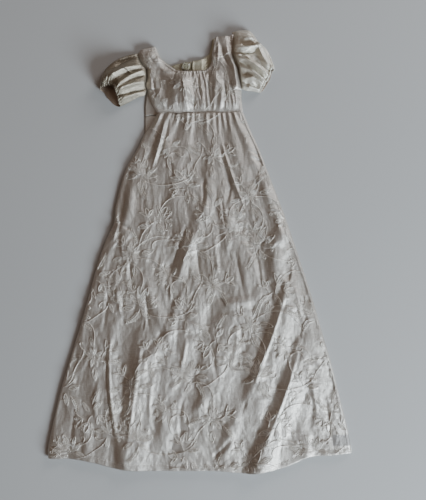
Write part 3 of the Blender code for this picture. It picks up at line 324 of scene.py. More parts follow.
RIGHT_SLEEVE = Sleeve(
    name="sleeve_right",
    armhole=((26.5, 169.6), (26.3, 162.1), (25.9, 156.3), (26.3, 149.9), (27.5, 145.8),
             (29.8, 140.1), (31.0, 133.5), (32.1, 127.0), (32.6, 122.7)),
    upper=((26.5, 169.6), (31.2, 170.3), (39.1, 169.8), (46.2, 160.6), (50.9, 156.3),
           (54.8, 149.8), (57.5, 142.5), (58.6, 138.6)),
    lower=((32.6, 122.7), (36.5, 121.0), (40.4, 120.6), (46.7, 119.4)),
    mouth_front=((58.6, 138.6), (55.9, 136.4), (54.6, 131.1), (51.8, 126.2), (49.3, 122.2),
                 (46.7, 119.4)),
    mouth_back=((58.6, 138.6), (56.3, 136.0), (54.9, 131.1), (52.0, 126.2), (49.5, 122.2),
                (46.7, 119.4)),
    heights=(4.2, 5.8, 6.0, 5.2, 3.8),
    folds=(Fold(26.0, 164.0, 36.0, 163.6, 45.0, 160.0, 5.0, 5.5, 5.0, 1.0, 2.2, 1.0),
           Fold(25.0, 154.9, 36.4, 153.2, 48.0, 156.6, 4.2, 3.8, 3.6, 1.5, 2.7, 1.8),
           Fold(27.0, 147.0, 41.0, 140.2, 56.0, 128.6, 3.8, 3.4, 3.6, 1.7, 2.8, 1.7),
           Fold(30.0, 139.8, 42.0, 133.6, 53.5, 124.8, 3.6, 3.4, 3.4, 1.4, 2.3, 1.6),
           Fold(31.5, 130.2, 41.5, 129.2, 51.0, 122.6, 3.6, 3.2, 3.4, 1.2, 2.2, 1.4),
           Fold(45.0, 157.6, 48.6, 146.8, 56.0, 135.0, 4.6, 3.8, 6.0, 1.5, 3.0, 1.5),
           Fold(51.6, 152.6, 54.4, 146.0, 57.0, 139.0, 2.8, 2.8, 2.8, -0.4, -1.5, -0.5)),
    creases=RIGHT_SLEEVE_CREASES, turn=1, seed=37)

SLEEVE_EDGE_Z = 2.0
SLEEVE_EDGE_SHARE = 0.07
DOME_SIDES = 2.6
DOME_CROWN = 0.6
FLOOR_FLATNESS = 1.3

# Crinkles: how far apart they lie across and along the cloth, how high, and how sharp
Crinkle = namedtuple("Crinkle", "across along rise sharp seed")
SKIRT_CRINKLES = (
    Crinkle(17.0, 50.0, 1.50, 0.10, 11),
    Crinkle(9.5, 30.0, 0.80, 0.15, 14),
)
SKIRT_FINE_CRINKLES = (
    Crinkle(6.0, 19.0, 0.36, 0.50, 12),
    Crinkle(3.0, 9.0, 0.18, 0.70, 13),
)
BODICE_CRINKLES = (
    Crinkle(7.5, 17.0, 0.75, 0.45, 21),
    Crinkle(3.2, 7.5, 0.24, 0.70, 22),
)
SLEEVE_CRINKLES = (
    Crinkle(8.0, 16.0, 0.60, 0.50, 31),
    Crinkle(3.0, 7.0, 0.20, 0.70, 32),
)
BACK_CRINKLES = (Crinkle(9.0, 30.0, 0.10, 0.40, 41),)
SKIRT_CLOTH_WIDTH = 150.0
GATHER_SHARE = 0.65
CALM_Y = 95.0
CALM_REACH = 70.0


def curve(points):
    """A smooth curve through a table's points, read at shares 0 to 1 of its length."""
    knots = np.array(points, float)
    steps = np.linalg.norm(np.diff(knots, axis=0), axis=1)
    at = np.concatenate(([0.0], np.cumsum(steps))) / steps.sum()
    slopes = np.empty_like(knots)
    slopes[1:-1] = (knots[2:] - knots[:-2]) / (at[2:] - at[:-2])[:, None]
    slopes[0] = (knots[1] - knots[0]) / (at[1] - at[0])
    slopes[-1] = (knots[-1] - knots[-2]) / (at[-1] - at[-2])

    def read(share):
        share = np.atleast_1d(np.asarray(share, float))
        span = np.clip(np.searchsorted(at, share, side="right") - 1, 0, len(at) - 2)
        width = at[span + 1] - at[span]
        q = ((share - at[span]) / width)[:, None]
        width = width[:, None]
        return ((2 * q**3 - 3 * q**2 + 1) * knots[span] + (q**3 - 2 * q**2 + q) * width * slopes[span]
                + (3 * q**2 - 2 * q**3) * knots[span + 1] + (q**3 - q**2) * width * slopes[span + 1])

    return read


def joined(*parts):
    """One curve made of several, each given with the share at which it ends."""
    def read(share):
        share = np.atleast_1d(np.asarray(share, float))
        points = np.zeros((len(share), 2))
        start = 0.0
        for part, end in parts:
            inside = (share >= start - 1e-9) & (share <= end + 1e-9)
            points[inside] = part((share[inside] - start) / (end - start))
            start = end
        return points

    return read


def patch(left, right, start, end):
    """A sheet between four curves: left and right run along it, start and end across it."""
    def read(along, across):
        along = np.atleast_1d(np.asarray(along, float))
        across = np.atleast_1d(np.asarray(across, float))
        u = along[:, None]
        v = across[:, None]
        corners = ((1 - u) * (1 - v) * start(0.0) + (1 - u) * v * start(1.0)
                   + u * (1 - v) * end(0.0) + u * v * end(1.0))
        return ((1 - v) * left(along) + v * right(along)
                + (1 - u) * start(across) + u * end(across) - corners)

    return read


def smooth(value):
    """Zero to one with level ends."""
    q = np.clip(value, 0.0, 1.0)
    return q * q * (3 - 2 * q)


def bump(value):
    """One at zero, level there, and nothing from one on."""
    q = np.clip(np.abs(value), 0.0, 1.0)
    return (1 - q * q) ** 2


def crest(value):
    """One at zero, with a sharp top, and nothing from one on."""
    q = np.clip(np.abs(value), 0.0, 1.0)
    return (1 - q) ** 2 * (1 + 0.8 * q)


def swell(distance, width, place=0.0):
    """One where a distance is at a place, and softly less over a width to each side."""
    return np.exp(-((distance - place) / width) ** 2)


def near_curve(x, y, path):
    """For each point: distance to a path, place along it from 0 to 1, and whether it is east."""
    away_x = x[:, None] - path[None, :, 0]
    away_y = y[:, None] - path[None, :, 1]
    distance = away_x**2 + away_y**2
    near = distance.argmin(axis=1)
    each = np.arange(len(x))
    heading = np.gradient(path, axis=0)[near]
    off_x = away_x[each, near]
    off_y = away_y[each, near]
    size = np.hypot(heading[:, 0], heading[:, 1])
    ahead = (off_x * heading[:, 0] + off_y * heading[:, 1]) / size
    inner = (near > 0) & (near < len(path) - 1)
    squared = distance[each, near] - np.where(inner, ahead**2, 0.0)
    side = heading[:, 0] * off_y - heading[:, 1] * off_x
    return np.sqrt(np.maximum(squared, 0.0)), near / (len(path) - 1), side > 0


def three_point_path(row, count=41):
    """The curve through a table row's three points."""
    share = np.linspace(0.0, 1.0, count)[:, None]
    first = np.array((row.x0, row.y0))
    last = np.array((row.x2, row.y2))
    pull = 2 * np.array((row.x1, row.y1)) - (first + last) / 2
    return (1 - share) ** 2 * first + 2 * share * (1 - share) * pull + share**2 * last


def close_to(path, reach, x, y):
    """Which points lie within reach of a path's box."""
    low = path.min(axis=0) - reach
    high = path.max(axis=0) + reach
    return (x > low[0]) & (x < high[0]) & (y > low[1]) & (y < high[1])


def fold_rise(folds, x, y):
    """How far the folds lift the cloth at points x, y."""
    total = np.zeros_like(x)
    for fold in folds:
        path = three_point_path(fold)
        here = close_to(path, max(fold.west_up, fold.west_low, fold.east), x, y)
        distance, s, east = near_curve(x[here], y[here], path)
        width = np.where(east, fold.east, fold.west_up + (fold.west_low - fold.west_up) * s)
        rise = ((1 - s) * (1 - 2 * s) * fold.up + 4 * s * (1 - s) * fold.middle
                + s * (2 * s - 1) * fold.low)
        total[here] += rise * bump(distance / width)
    return total


def crease_rise(creases, x, y):
    """How far the creases lift the cloth at points x, y."""
    total = np.zeros_like(x)
    for crease in creases:
        path = three_point_path(crease)
        here = close_to(path, crease.half_width, x, y)
        distance, s, _ = near_curve(x[here], y[here], path)
        total[here] += crease.rise * smooth(4 * s * (1 - s)) * crest(distance / crease.half_width)
    return total


def gather_rise(gathers, x, y, profile=bump):
    """How far the gathers lift the cloth at points x, y."""
    total = np.zeros_like(x)
    for gather in gathers:
        s = (y - gather.y) / (gather.end_y - gather.y)
        centre = gather.x + (gather.end_x - gather.x) * np.clip(s, 0.0, 1.0)
        fade = smooth(s / 0.12 + 0.35) * smooth((1.0 - s) / 0.75)
        total += gather.rise * fade * profile((x - centre) / gather.half_width)
    return total


def noise(x, y, seed):
    """Even noise from about -1 to 1, with one swell to each unit of x and y."""
    size = 64
    angles = np.random.default_rng(seed).uniform(0.0, 2 * math.pi, (size, size))
    cell_x = np.floor(x).astype(int)
    cell_y = np.floor(y).astype(int)
    in_x = x - cell_x
    in_y = y - cell_y

    def corner(right, up):
        angle = angles[(cell_y + up) % size, (cell_x + right) % size]
        return np.cos(angle) * (in_x - right) + np.sin(angle) * (in_y - up)

    across = smooth(in_x)
    low = corner(0, 0) * (1 - across) + corner(1, 0) * across
    high = corner(0, 1) * (1 - across) + corner(1, 1) * across
    along = smooth(in_y)
    return 1.4 * (low * (1 - along) + high * along)


def crinkle_rise(layers, across, along):
    """How far the crinkles lift the cloth, from places across and along it."""
    total = np.zeros_like(across)
    for layer in layers:
        warp = noise(across / (3 * layer.across), along / (1.4 * layer.along), layer.seed + 100)
        field = noise(across / layer.across + 0.7 * warp, along / layer.along, layer.seed)
        ridge = 0.6 - 2 * np.abs(field)
        total += layer.rise * ((1 - layer.sharp) * field + layer.sharp * ridge)
    return total


def outline_x(points, y):
    """The x of an outline at each y."""
    table = np.array(sorted(points, key=lambda point: point[1]))
    return np.interp(y, table[:, 1], table[:, 0])


def rolled(z, edge, radius, edge_z=EDGE_TOP):
    """Heights turned down to edge_z in a round fold along an edge."""
    q = np.clip(edge / radius, 0.0, 1.0)
    return edge_z + (z - edge_z) * np.sqrt(1 - (1 - q) ** 2)


def skirt_front_top(x, y):
    """Height of the front skirt's solid."""
    from_left = x - outline_x(FRONT_ROLLED_SIDE + SKIRT_LEFT, y)
    from_right = outline_x(SKIRT_RIGHT, y) - x
    edge = np.minimum(from_left, from_right)
    inside = smooth(edge / EDGE_EASE)
    rise = SKIRT_BILLOW + fold_rise(SKIRT_FOLDS, x, y)
    gathers = GATHER_SHARE * gather_rise(SKIRT_GATHERS, x, y)
    return FRONT_TOP + inside * rise + smooth(inside * 2) * gathers, edge


NECK_LINE = STRAP_LEFT_NECK[::-1] + NECK_FLOOR[1:] + STRAP_RIGHT_NECK[1:]


def neck_share(x, y):
    """How much of the bodice's fullness is left near its neck line, as a share."""
    path = curve(NECK_LINE)(np.linspace(0.0, 1.0, NECK_SAMPLES))
    away, _, _ = near_curve(x, y, path)
    ease = NECK_EASE + (STRAP_EASE - NECK_EASE) * smooth((y - STRAP_Y) / STRAP_REACH)
    return NECK_FULLNESS + (1 - NECK_FULLNESS) * smooth(away / ease)


def bodice_front_top(x, y):
    """Height of the front bodice's solid."""
    from_left = x - outline_x(FRONT_SIDE_LEFT + STRAP_LEFT_OUTER, y)
    from_right = outline_x(FRONT_SIDE_RIGHT + STRAP_RIGHT_OUTER, y) - x
    edge = np.minimum(from_left, from_right)
    inside = smooth(edge / np.where(y > ARMHOLE_Y, ARMHOLE_EASE, EDGE_EASE))
    over_waist = smooth((y - WAIST_Y) / CHEST_RISE)
    shoulder = 1 - smooth((y - SHOULDER_Y) / SHOULDER_FALL)
    rise = SKIRT_BILLOW + BODICE_FULLNESS * over_waist * shoulder + fold_rise(BODICE_FOLDS, x, y)
    gathered = GATHER_SHARE * smooth(inside * 2) * gather_rise(BODICE_GATHERS, x, y)
    return FRONT_TOP + neck_share(x, y) * (inside * rise + gathered), edge


# Threads: every motif is a list of paths on the flat cloth, in millimetres
STEP = 0.75


def turned(x, y, heading, length, turn, curl=0.0):
    """A path that leaves x, y at a heading in degrees and turns evenly, or curls up at its end."""
    count = max(3, int(round(length / STEP)))
    share = (np.arange(count) + 0.5) / count
    angles = np.radians(heading + turn * share + curl * share**4)
    steps = length / count * np.stack((np.cos(angles), np.sin(angles)), axis=1)
    return np.vstack(((x, y), np.array((x, y)) + np.cumsum(steps, axis=0)))


def heading_at(path, index):
    """Heading in degrees of a path at one of its points."""
    index = min(max(index, 1), len(path) - 1)
    step = path[index] - path[index - 1]
    return math.degrees(math.atan2(step[1], step[0]))


def petal(x, y, heading, length, width, lean=0.0):
    """The outline of a pointed petal or leaf, out along one side and back along the other."""
    share = np.linspace(0.0, 1.0, max(5, int(length / STEP)))
    side = width / 2 * np.sin(math.pi * share**0.85) ** 0.8
    middle = lean * share**2
    ahead = share * length
    out = np.stack((ahead, middle + side), axis=1)
    back = np.stack((ahead[::-1], (middle - side)[::-1]), axis=1)[1:]
    points = np.vstack((out, back))
    angle = math.radians(heading)
    turn = np.array(((math.cos(angle), math.sin(angle)), (-math.sin(angle), math.cos(angle))))
    return points @ turn + (x, y)


def ring(x, y, radius):
    """A small closed round."""
    angles = np.linspace(0.0, 2 * math.pi, max(8, int(2 * math.pi * radius / STEP)))
    return np.stack((x + radius * np.cos(angles), y + radius * np.sin(angles)), axis=1)


def out(x, y, heading, distance):
    """The place some millimetres out from x, y at a heading."""
    angle = math.radians(heading)
    return x + distance * math.cos(angle), y + distance * math.sin(angle)


def lily(x, y, heading, size, rng):
    """An open flower: long pointed petals in a fan, a rib in each, and stamens with knots."""
    paths = [ring(x, y, 0.8)]
    for place in (-1.0, -0.52, 0.05, 0.5, 1.0):
        angle = heading + 82 * place + rng.uniform(-7, 7)
        reach = size * (1 - 0.2 * abs(place)) * rng.uniform(0.86, 1.08)
        base = out(x, y, angle, 1.0)
        lean = -0.25 * reach * place + rng.uniform(-0.8, 0.8)
        width = reach * rng.uniform(0.24, 0.34)
        paths.append(petal(*base, angle, reach, width, lean))
        paths.append(petal(*base, angle, reach * 0.8, width * 0.5, lean * 0.7))
        paths.append(turned(*out(*base, angle, 1.5), angle, reach * 0.45, -40 * place))
    for place in (-0.3, 0.28):
        stalk = turned(*out(x, y, heading + 60 * place, 1.0), heading + 60 * place, size * 0.5,
                       30 * place)
        paths += [stalk, ring(*out(*stalk[-1], heading, 0.7), 0.6)]
    return paths


def star(x, y, heading, size, rng):
    """A round flower of narrow petals about a ring, of uneven length, each filled with thread."""
    paths = [ring(x, y, size * 0.14)]
    for index in range(8):
        angle = heading + 45 * index + rng.uniform(-9, 9)
        reach = size * 0.82 * rng.uniform(0.75, 1.12)
        lean = rng.uniform(-1.2, 1.2)
        base = out(x, y, angle, size * 0.19)
        width = reach * rng.uniform(0.3, 0.42)
        paths += [petal(*base, angle, reach, width, lean),
                  petal(*base, angle, reach * 0.86, width * 0.45, lean)]
    return paths


def tulip(x, y, heading, size, rng):
    """A half-open flower of three petals on a stalk with a cup."""
    lean = size * 0.24
    paths = [petal(x, y, heading, size, size * 0.4, rng.uniform(-1, 1))]
    for side in (-1, 1):
        paths.append(petal(x, y, heading + 33 * side, size * rng.uniform(0.85, 1.05), size * 0.26,
                           lean * side))
        paths.append(turned(x, y, heading + 80 * side, size * 0.5, -110 * side))
    paths.append(turned(x, y, heading + 180, size * 0.7, rng.uniform(-60, 60)))
    return paths


def fern(x, y, heading, size, rng):
    """A curved stem with two rows of short curved stitches."""
    stem = turned(x, y, heading, size * 1.7, rng.uniform(-70, 70))
    paths = [stem]
    for index in range(3, len(stem) - 1, 2):
        share = index / len(stem)
        reach = size * 0.36 * (1.1 - 0.6 * share)
        for side in (-1, 1):
            angle = heading_at(stem, index) + 52 * side
            paths.append(turned(*out(*stem[index], angle, 0.5), angle, max(reach, 1.6),
                                -35 * side))
    return paths


def leaf(x, y, heading, size, rng):
    """A pointed leaf with a rib."""
    lean = rng.uniform(-2.0, 2.0)
    width = size * rng.uniform(0.3, 0.42)
    return [petal(x, y, heading, size, width, lean),
            petal(x, y, heading, size * 0.8, width * 0.4, lean * 0.7)]


def buds(x, y, heading, size, rng):
    """A spray of small rings on short stalks."""
    paths = []
    for place in (-1.0, -0.35, 0.3, 1.0):
        stalk = turned(x, y, heading + 46 * place, size * rng.uniform(0.6, 1.1), 35 * place)
        angle = heading_at(stalk, len(stalk) - 1)
        paths += [stalk, ring(*out(*stalk[-1], angle, 0.9), rng.uniform(0.7, 1.0))]
    return paths


def scroll(x, y, heading, size, rng):
    """A short vine that curls in on itself."""
    return [turned(x, y, heading, size * 2.2, rng.uniform(-40, 40), rng.choice((-330, 330)))]


MOTIFS = {"lily": lily, "star": star, "tulip": tulip, "fern": fern, "leaf": leaf, "buds": buds,
          "scroll": scroll}

# Bunches of motifs, each placed about the bunch's own middle, with the bunch upright
Motif = namedtuple("Motif", "kind x y heading size")
BUNCHES = {
    "lilies": (
        Motif("lily", 0.0, 0.0, 82.0, 12.5),
        Motif("leaf", -3.0, -2.5, 205.0, 9.0),
        Motif("leaf", 3.0, -3.0, 318.0, 8.0),
        Motif("fern", -4.5, 1.5, 158.0, 8.0),
        Motif("fern", 1.0, -4.0, 272.0, 9.0),
        Motif("scroll", 4.5, -0.5, 12.0, 6.0),
        Motif("buds", -6.0, 7.0, 122.0, 6.0),
    ),
    "wheels": (
        Motif("star", 0.0, 0.0, 8.0, 8.0),
        Motif("tulip", 5.5, 8.5, 64.0, 8.0),
        Motif("fern", -6.5, -3.0, 208.0, 9.0),
        Motif("fern", 6.0, 0.5, 352.0, 8.0),
        Motif("leaf", -4.5, 6.5, 132.0, 8.0),
        Motif("leaf", 3.5, -6.5, 300.0, 9.0),
        Motif("scroll", -7.0, 1.5, 168.0, 5.5),
    ),
    "tulips": (
        Motif("tulip", 0.0, 5.0, 96.0, 9.0),
        Motif("tulip", -6.0, -1.0, 148.0, 7.0),
        Motif("leaf", 2.5, -2.0, 342.0, 8.5),
        Motif("leaf", -1.5, -4.5, 246.0, 9.0),
        Motif("buds", 5.0, 4.0, 36.0, 7.0),
        Motif("fern", 1.5, -8.0, 286.0, 7.5),
    ),
    "sprigs": (
        Motif("lily", 0.0, 1.0, 118.0, 9.0),
        Motif("buds", 3.0, 5.5, 58.0, 6.5),
        Motif("leaf", 2.5, -1.5, 338.0, 7.5),
        Motif("leaf", -3.0, -2.0, 222.0, 7.0),
        Motif("scroll", 0.5, -3.5, 268.0, 5.5),
    ),
}

# One repeat: its bunches, and the tendrils that join them, each with a sway and a curled end
REPEAT_WIDTH = 90.0
REPEAT_HEIGHT = 100.0
REPEAT_SHIFT = 0.46
Bunch = namedtuple("Bunch", "kind x y turn")
REPEAT_BUNCHES = (
    Bunch("lilies", 16.0, 20.0, -12.0),
    Bunch("tulips", 50.0, 12.0, 28.0),
    Bunch("wheels", 72.0, 34.0, -35.0),
    Bunch("sprigs", 38.0, 40.0, 64.0),
    Bunch("wheels", 10.0, 58.0, 70.0),
    Bunch("lilies", 56.0, 66.0, 32.0),
    Bunch("sprigs", 84.0, 78.0, -60.0),
    Bunch("tulips", 28.0, 84.0, -38.0),
    Bunch("sprigs", 0.0, 37.0, 24.0),
    Bunch("tulips", 71.0, 92.0, 158.0),
)
Tendril = namedtuple("Tendril", "x y heading length turn sway curl")
TENDRILS = (
    Tendril(17.0, 17.0, -52.0, 46.0, 108.0, 10.0, 0.0),
    Tendril(15.0, 24.0, 72.0, 34.0, 38.0, -14.0, 60.0),
    Tendril(52.0, 14.0, 28.0, 30.0, 64.0, 22.0, 0.0),
    Tendril(50.0, 16.0, 152.0, 38.0, -96.0, 8.0, -160.0),
    Tendril(38.0, 42.0, -8.0, 27.0, -74.0, 20.0, 0.0),
    Tendril(36.0, 44.0, 128.0, 30.0, 62.0, -10.0, 0.0),
    Tendril(72.0, 38.0, 94.0, 44.0, 82.0, -16.0, 90.0),
    Tendril(11.0, 61.0, 42.0, 48.0, -88.0, 12.0, 0.0),
    Tendril(57.0, 70.0, 8.0, 27.0, 88.0, -18.0, 0.0),
    Tendril(55.0, 69.0, 148.0, 36.0, 30.0, 20.0, 150.0),
    Tendril(29.0, 87.0, 66.0, 34.0, -76.0, 10.0, 0.0),
    Tendril(27.0, 83.0, 214.0, 32.0, 84.0, -8.0, -120.0),
    Tendril(84.0, 80.0, 98.0, 30.0, -70.0, 14.0, 0.0),
    Tendril(83.0, 75.0, 262.0, 28.0, -86.0, -14.0, 0.0),
)
WORK_JITTER = 1.6
TURN_JITTER = 9.0


def tendril_path(row, rng):
    """A long vine that sways as it turns, and may curl up at its end."""
    count = int(round(row.length / STEP))
    share = (np.arange(count) + 0.5) / count
    start = row.heading + rng.uniform(-TURN_JITTER, TURN_JITTER)
    angles = np.radians(start + row.turn * share + row.curl * share**4
                        + row.sway * np.sin(2 * math.pi * share))
    steps = row.length / count * np.stack((np.cos(angles), np.sin(angles)), axis=1)
    return np.vstack(((row.x, row.y), np.array((row.x, row.y)) + np.cumsum(steps, axis=0)))


def bunch_paths(bunch, rng):
    """A bunch at its place in the repeat, worked by hand: no two come out alike."""
    turn = bunch.turn + rng.uniform(-TURN_JITTER, TURN_JITTER)
    angle = math.radians(turn)
    paths = []
    for row in BUNCHES[bunch.kind]:
        x = bunch.x + row.x * math.cos(angle) - row.y * math.sin(angle)
        y = bunch.y + row.x * math.sin(angle) + row.y * math.cos(angle)
        x += rng.uniform(-WORK_JITTER, WORK_JITTER) / 2
        y += rng.uniform(-WORK_JITTER, WORK_JITTER) / 2
        heading = row.heading + turn + rng.uniform(-TURN_JITTER, TURN_JITTER)
        paths += MOTIFS[row.kind](x, y, heading, row.size * rng.uniform(0.9, 1.1), rng)
    return paths


def embroidered(work):
    """The repeat worked over a box, each column of it moved up by a share of the height."""
    low, high, start, seed = work
    rng = np.random.default_rng(seed)
    placed = []
    first = math.floor((low[0] - start[0]) / REPEAT_WIDTH) - 1
    last = math.ceil((high[0] - start[0]) / REPEAT_WIDTH) + 1
    for column in range(first, last):
        lift = REPEAT_SHIFT * REPEAT_HEIGHT * (column % 2)
        bottom = math.floor((low[1] - start[1]) / REPEAT_HEIGHT) - 2
        top = math.ceil((high[1] - start[1]) / REPEAT_HEIGHT) + 1
        for row in range(bottom, top):
            move = (start[0] + column * REPEAT_WIDTH, start[1] + row * REPEAT_HEIGHT + lift)
            for bunch in REPEAT_BUNCHES:
                placed += [path + move for path in bunch_paths(bunch, rng)]
            placed += [tendril_path(tendril, rng) + move for tendril in TENDRILS]
    return placed


def clipped(paths, inside):
    """The stretches of the paths whose points lie inside, as a cut through worked cloth."""
    kept = []
    for path in paths:
        keep = inside(path[:, 0], path[:, 1])
        edges = np.flatnonzero(np.diff(np.concatenate(([0], keep.astype(int), [0]))))
        for start, end in zip(edges[::2], edges[1::2]):
            if end - start >= 3:
                kept.append(path[start:end])
    return kept


# Meshes
def add_mesh(name, points, faces, uv, material, rim=None):
    """A named object from points in millimetres, with the flat cloth as its UV map.

    Its faces from number rim on are shaded flat, so that the cut edge doesn't tint the cloth.
    """
    mesh = bpy.data.meshes.new(name)
    mesh.from_pydata((np.asarray(points, float) * MM).tolist(), [], faces)
    corners = np.zeros(len(mesh.loops), np.int32)
    mesh.loops.foreach_get("vertex_index", corners)
    layer = mesh.uv_layers.new(name="cloth")
    layer.data.foreach_set("uv", (np.asarray(uv, float)[corners] * MM).astype(np.float32).ravel())
    mesh.materials.append(material)
    mesh.shade_smooth()
    if rim is not None:
        for face in mesh.polygons[rim:]:
            face.use_smooth = False
    obj = bpy.data.objects.new(name, mesh)
    bpy.context.scene.collection.objects.link(obj)
    return obj


def settle(obj):
    """Turns what an object's modifiers make into its own mesh."""
    bpy.context.view_layer.update()
    shown = obj.evaluated_get(bpy.context.evaluated_depsgraph_get())
    made = bpy.data.meshes.new_from_object(shown)
    made.name = obj.name
    obj.modifiers.clear()
    obj.data = made
    return obj


def grid_faces(numbers):
    """Quads between a table of point numbers, with their faces up where rows run down."""
    return np.stack((numbers[:-1, :-1], numbers[1:, :-1], numbers[1:, 1:], numbers[:-1, 1:]),
                    axis=-1).reshape(-1, 4)


def sides_of(numbers):
    """The four borders of a table of point numbers, in the order of the faces' edges."""
    return numbers[:, 0], numbers[-1, :], numbers[::-1, -1], numbers[0, ::-1]


def backed_sheet(name, xy, outer, thickness, shape, material):
    """A thin closed sheet: fine on its outer face, coarser on the one that is hidden."""
    rows, columns = shape
    z = outer.reshape(shape)
    thin = thickness.reshape(shape)
    lowest = z.copy()
    for down in range(-1, 2):
        for right in range(-1, 2):
            moved = np.roll(z, (down, right), axis=(0, 1))
            lowest[1:-1, 1:-1] = np.minimum(lowest[1:-1, 1:-1], moved[1:-1, 1:-1])
    inner = np.maximum(lowest - thin, BACK_TOP + LEAST_GAP)[::COARSE, ::COARSE]
    plan = xy.reshape(rows, columns, 2)
    fine = np.arange(rows * columns).reshape(shape)
    coarse = rows * columns + np.arange(inner.size).reshape(inner.shape)
    inner_plan = plan[::COARSE, ::COARSE].reshape(-1, 2)
    points = np.vstack((np.column_stack((xy, outer)),
                        np.column_stack((inner_plan, inner.ravel()))))
    faces = grid_faces(fine).tolist() + grid_faces(coarse)[:, ::-1].tolist()
    for upper, lower in zip(sides_of(fine), sides_of(coarse)):
        for index in range(len(lower) - 1):
            stretch = upper[index * COARSE:(index + 1) * COARSE + 1].tolist()
            faces.append(stretch[::-1] + [int(lower[index]), int(lower[index + 1])])
    return add_mesh(name, points, faces, points[:, :2], material)


class Plan:
    """Points seen from above and the faces between them, shared where blocks meet."""

    def __init__(self):
        self.points = []
        self.faces = []
        self.known = {}

    def point(self, xy):
        key = (round(float(xy[0]), 3), round(float(xy[1]), 3))
        if key not in self.known:
            self.known[key] = len(self.points)
            self.points.append((float(xy[0]), float(xy[1])))
        return self.known[key]

    def block(self, sheet, row_count, count):
        """Quads over a sheet, facing up where its rows run up."""
        across = np.linspace(0.0, 1.0, count + 1)
        rows = [[self.point(xy) for xy in sheet(np.full(count + 1, along), across)]
                for along in np.linspace(0.0, 1.0, row_count)]
        for low, high in zip(rows, rows[1:]):
            for i in range(count):
                self.faces.append([low[i], low[i + 1], high[i + 1], high[i]])

    def build(self, name, outer, inner, material):
        """A closed sheet between two heights for each point."""
        plan = np.array(self.points)
        count = len(plan)
        points = np.vstack((np.column_stack((plan, outer)), np.column_stack((plan, inner))))
        edges = {}
        for face in self.faces:
            for a, b in zip(face, face[1:] + face[:1]):
                edges[(a, b)] = True
        faces = list(self.faces)
        faces += [[count + corner for corner in reversed(face)] for face in self.faces]
        rim = len(faces)
        faces += [[b, a, count + a, count + b] for a, b in edges if (b, a) not in edges]
        return add_mesh(name, points, faces, points[:, :2], material, rim)


def shifted(points, dx, dy):
    """A line's points moved by dx and dy."""
    return tuple((x + dx, y + dy) for x, y in points)


def distance_to(points, x, y, count=160):
    """Distance from each point to a smooth curve, and the place along it in millimetres."""
    path = curve(points)(np.linspace(0.0, 1.0, count))
    length = np.linalg.norm(np.diff(path, axis=0), axis=1).sum()
    distance, share, _ = near_curve(x, y, path)
    return distance, share * length


def thread_field(paths, x, y):
    """Distance from each point to the nearest thread."""
    points = np.vstack(paths)
    tree = kdtree.KDTree(len(points))
    for index, point in enumerate(points):
        tree.insert((point[0], point[1], 0.0), index)
    tree.balance()
    return np.array([tree.find((px, py, 0.0))[2] for px, py in zip(x, y)])


THREAD_LIFT = 0.08
THREAD_REACH = 0.8
PUCKER_REACH = 3.6
PUCKERS = (
    Crinkle(5.0, 6.5, 0.50, 0.35, 51),
    Crinkle(2.4, 3.0, 0.22, 0.6, 52),
)


def pucker_rise(paths, x, y):
    """Cloth drawn up along the threads, with small puckers about them."""
    near = thread_field(paths, x, y)
    drawn = swell(near, PUCKER_REACH)
    return THREAD_LIFT * swell(near, THREAD_REACH) + drawn * crinkle_rise(PUCKERS, x, y)


# Small gathers side by side on a level seam: where they start and end, how far they reach from
# it, how high they are, and the seed of their unevenness
GatherRow = namedtuple("GatherRow", "x0 x1 y count reach rise seed")
UNDER_WAIST = GatherRow(-32.5, 32.5, 102.6, 15, -9.0, 0.55, 3)
OVER_WAIST = GatherRow(-32.0, 32.0, 103.8, 10, 7.0, 0.30, 5)
UNDER_NECK = GatherRow(-18.5, 3.0, 137.4, 9, -14.0, 0.50, 6)


def fine_gathers(row, x, y):
    """How far a row of small gathers lifts the cloth at points x, y."""
    rng = np.random.default_rng(row.seed)
    made = []
    for share in (np.arange(row.count) + 0.5) / row.count:
        start = row.x0 + (row.x1 - row.x0) * (share + rng.uniform(-0.3, 0.3) / row.count)
        length = row.reach * rng.uniform(0.5, 1.8)
        lean = (share - 0.5) * 0.5 * abs(length)
        made.append(Gather(start, row.y, start + lean, row.y + length, rng.uniform(0.9, 1.9),
                           row.rise * rng.uniform(0.6, 1.2)))
    return gather_rise(made, x, y, crest)


CRINKLE_SHARE = 0.85
CALM_SHARE = 0.3
SKIRT_EDGE_CALM = 3.0
SEAM_RIDGE = 0.45
SEAM_RIDGE_X = 1.5
SEAM_RIDGE_WIDTH = 0.9
HEM_LINE = 0.16
HEM_LINE_WIDTH = 0.6
SKIRT_LEAST = 0.25


def turned_in(distance, depth, blur):
    """One within a turning's depth of an edge, and zero past it."""
    return smooth((depth - distance) / blur + 0.5)


